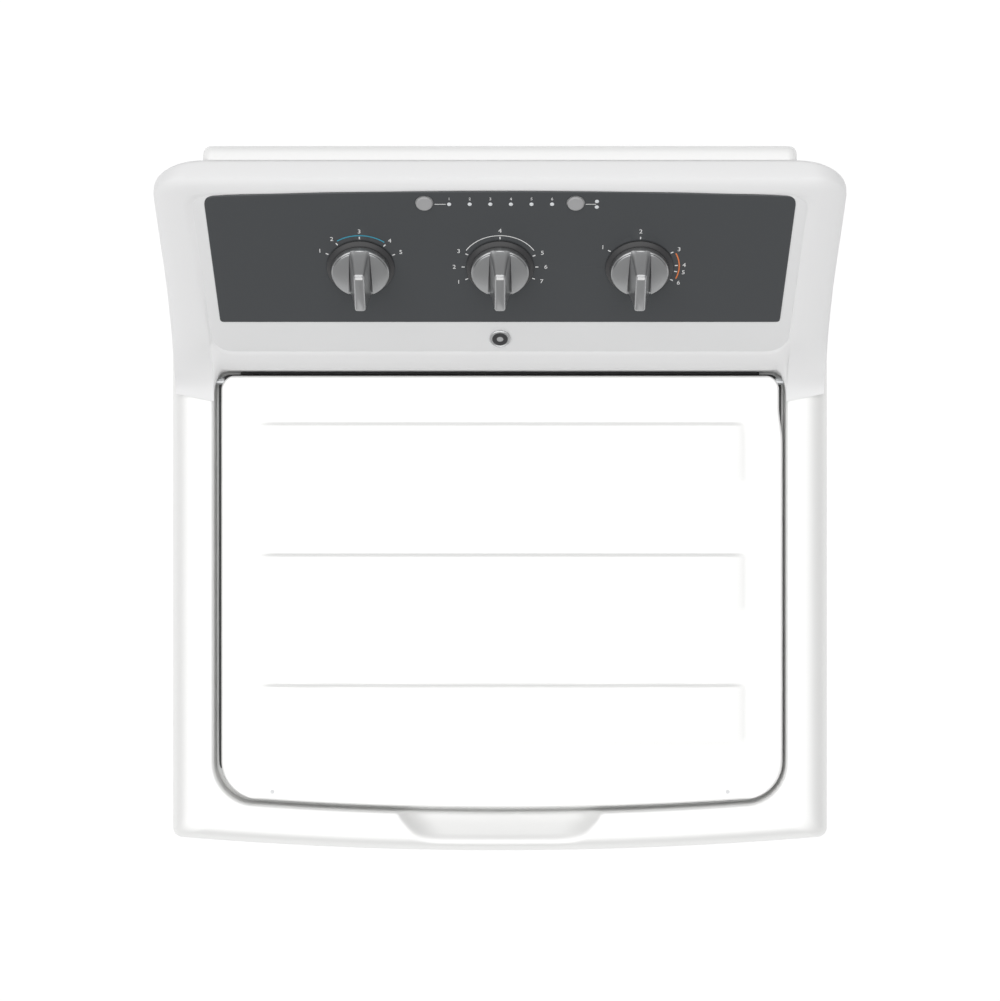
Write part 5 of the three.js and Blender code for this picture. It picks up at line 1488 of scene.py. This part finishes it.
    def vane(self, z: float, turn_by: float) -> bpy.types.Object:
        """A tall fin: rings of a thin stadium that shorten upwards along a hollow curve, turned about Z.

        Args:
            z: Height of the agitator's foot.
            turn_by: Angle about Z in radians.

        Returns:
            The fin.
        """
        rings = []
        for t in np.linspace(0, 1, 22):
            out = (142 - 84 * t**0.55) * MM
            inner = (88 - 38 * min(t * 1.6, 1.0)) * MM
            half = (5.5 - 2.2 * t) * MM * (1 - 0.75 * max((t - 0.93) / 0.07, 0))
            height = z + (14 + 146 * t) * MM
            reach = max((out - inner) / 2, 3 * MM)
            flat = Outline(reach, -half, half, 0.0, half * 0.9, half * 0.9).points(16, 4, 5)
            flat = flat + np.array([max((out + inner) / 2, inner + 3 * MM), 0.0])
            flat[:, 1] += 0.9 * (np.maximum(flat[:, 0] - 60 * MM, 0) ** 2) / 0.6
            c, s = math.cos(turn_by), math.sin(turn_by)
            rings.append(at_height(flat @ np.array([[c, s], [-s, c]]), height))
        return loft("vane", np.stack(rings), sharp_deg=50)

    def flight(self, low: float, high: float) -> bpy.types.Object:
        """A screw flight: a thin blade section carried round a helix, tapering away at both ends.

        Args:
            low: Height of its lower end.
            high: Height of its upper end.

        Returns:
            The flight.
        """
        steps = 260
        t = np.linspace(0, 1, steps)
        angle = t * 2.25 * 2 * math.pi
        taper = np.minimum(1, np.minimum(t, 1 - t) / 0.12)
        inner = 44 * MM
        outer = inner + (82 * MM - inner) * (0.15 + 0.85 * ease(taper))
        under = np.array([(0, -3.4), (0.5, -2.6), (0.93, -2.0)])
        section = np.concatenate([under, [(1.0, 0)], under[::-1] * (1, -1)])
        r = inner + (outer - inner)[:, None] * section[:, 0]
        z = (low + 3.4 * MM + (high - low - 6.8 * MM) * t)[:, None] + section[:, 1] * MM
        rings = np.stack([r * np.cos(angle)[:, None], r * np.sin(angle)[:, None], z], -1)
        return loft("flight", rings, sharp_deg=50)

    def build(self) -> None:
        """Build all the pieces round the tub's axis."""
        self.build_rings()
        self.build_basket()
        self.build_agitator()


@dataclass
class Suspension:
    """The four coil springs under the tub and the sump hose."""

    wire: float = 3 * MM
    turns: float = 5.0
    hose_bore: float = 14 * MM

    def ends(self, node: str) -> tuple[Vector, Vector]:
        """Return the foot and the head of a node's own centre line.

        Args:
            node: A node that stands upright.

        Returns:
            The foot and the head.
        """
        low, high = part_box(node)
        x, y = (low[0] + high[0]) / 2, (low[1] + high[1]) / 2
        return Vector((x, y, low[2])), Vector((x, y, high[2]))

    def spring(self, node: str) -> None:
        """Sweep a wire circle along a helix whose end turns lie closer together.

        Args:
            node: The coil's node in the frame.
        """
        foot, head = self.ends(node)
        mean = (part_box(node)[1][0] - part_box(node)[0][0]) / 2 - self.wire
        t = np.linspace(0, 1, 30 * int(self.turns) + 1)
        angle = 2 * math.pi * self.turns * t
        climb = t - 0.1 * np.sin(2 * math.pi * t)
        z = foot.z + self.wire + (head.z - foot.z - 2 * self.wire) * climb
        along = np.stack([mean * np.cos(angle), mean * np.sin(angle), z], -1)
        ahead = np.gradient(along, axis=0)
        ahead /= np.linalg.norm(ahead, axis=1)[:, None]
        side = np.stack([np.cos(angle), np.sin(angle), np.zeros_like(angle)], -1)
        upward = np.cross(ahead, side)
        a = np.linspace(0, 2 * math.pi, 13)[:-1]
        ring = side[:, None, :] * np.cos(a)[None, :, None] - upward[:, None, :] * np.sin(a)[None, :, None]
        rings = along[:, None, :] + self.wire * ring + np.array([foot.x, foot.y, 0.0])
        self.stretch(loft(node + "_coil", rings, sharp_deg=60), STEEL, "zinc_steel", node)

    def hose(self, node: str) -> None:
        """A ribbed rubber sleeve: the outside follows a raised cosine along its length.

        Args:
            node: The hose's node in the frame.
        """
        foot, head = self.ends(node)
        outer = (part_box(node)[1][0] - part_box(node)[0][0]) / 2
        t = np.linspace(0, 1, 90)
        rib = 1.6 * MM * (0.5 + 0.5 * np.cos(2 * math.pi * 7 * t)) * ease(t / 0.12) * ease((1 - t) / 0.12)
        outside = np.stack([outer - rib, foot.z + (head.z - foot.z) * t], -1)
        inside = np.stack([np.full_like(t, self.hose_bore), outside[:, 1]], -1)[::-1]
        piece = turn(node + "_sleeve", np.concatenate([outside, inside]), 64, (foot.x, foot.y), sharp_deg=60)
        self.stretch(piece, RUBBER, "black_rubber", node)

    def stretch(self, piece: bpy.types.Object, finish: Finish, slot: str, node: str) -> None:
        """Give the piece its finish and hide the node it stands for.

        Args:
            piece: The finished mesh.
            finish: Its material.
            slot: The record's material slot; not used.
            node: The node it stands for.
        """
        piece.data.materials.append(finish.build())
        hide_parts(node)
        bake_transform(piece)

    def build(self) -> None:
        """Build the four springs and the hose."""
        for corner in ("front_left", "front_right", "rear_left", "rear_right"):
            self.spring("suspension_spring_" + corner)
        self.hose("sump_hose")


# ---- stage --------------------------------------------------------------------------------------
def dress_frame(frame: dict) -> None:
    """Give every frame node the finish of its slot."""
    slots = {s["node"]: s["material_slot"] for s in frame["record"]["subparts"]}
    for name, node in frame["nodes"].items():
        node.data.materials.clear()
        node.data.materials.append(SLOT_FINISH[slots[name]].build())


@dataclass
class Studio:
    """A pale floor, soft light from all round and a wide sun overhead, and the camera above the lid."""

    eye_height: float = 3.0
    lens: float = 103.2
    eye_y: float = 9.5 * MM

    def build(self) -> None:
        """Make the floor, world, lamps and camera."""
        size = 14.0
        t = np.linspace(-size, size, 9)
        gx, gy = np.meshgrid(t, t, indexing="ij")
        verts = np.stack([gx, gy, np.zeros_like(gx) - 0.5 * MM], -1).reshape(-1, 3)
        mesh = bpy.data.meshes.new("floor")
        mesh.from_pydata(verts.tolist(), [], grid_faces(9, 9, False, False).tolist())
        floor = bpy.data.objects.new("floor", mesh)
        bpy.context.scene.collection.objects.link(floor)
        floor.data.materials.append(FLOOR.build())
        scene = bpy.context.scene
        world = scene.world or bpy.data.worlds.new("soft_room")
        scene.world = world
        world.use_nodes = True
        world.node_tree.nodes["Background"].inputs["Color"].default_value = (1.0, 1.0, 1.0, 1.0)
        world.node_tree.nodes["Background"].inputs["Strength"].default_value = 0.35
        sun = bpy.data.lights.new("high_soft_key", "SUN")
        sun.energy = 2.15
        sun.angle = math.radians(90.0)
        key = bpy.data.objects.new("high_soft_key", sun)
        key.rotation_euler = Vector((0.15, 0.09, -1.0)).to_track_quat("-Z", "Y").to_euler()
        scene.collection.objects.link(key)
        scene.view_settings.view_transform = "Standard"
        camera = bpy.data.cameras.new("camera")
        camera.lens = self.lens
        camera.sensor_width = 36.0
        eye = bpy.data.objects.new("camera", camera)
        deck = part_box("top_cover")[1][2]
        eye.location = (0.0, self.eye_y, deck + self.eye_height)
        scene.collection.objects.link(eye)
        scene.camera = eye


def main() -> None:
    """Load the frame and build every sub-assembly round it."""
    logging.basicConfig(level=logging.INFO, format="%(message)s")
    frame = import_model()
    build_effects()
    Studio().build()
    dress_frame(frame)
    TopCover().build()
    Lid().build()
    Console(Face.from_frame(frame["joints"])).build()
    Cabinet().build()
    WashSystem().build()
    Suspension().build()
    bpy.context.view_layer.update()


if __name__ == "__main__":
    main()
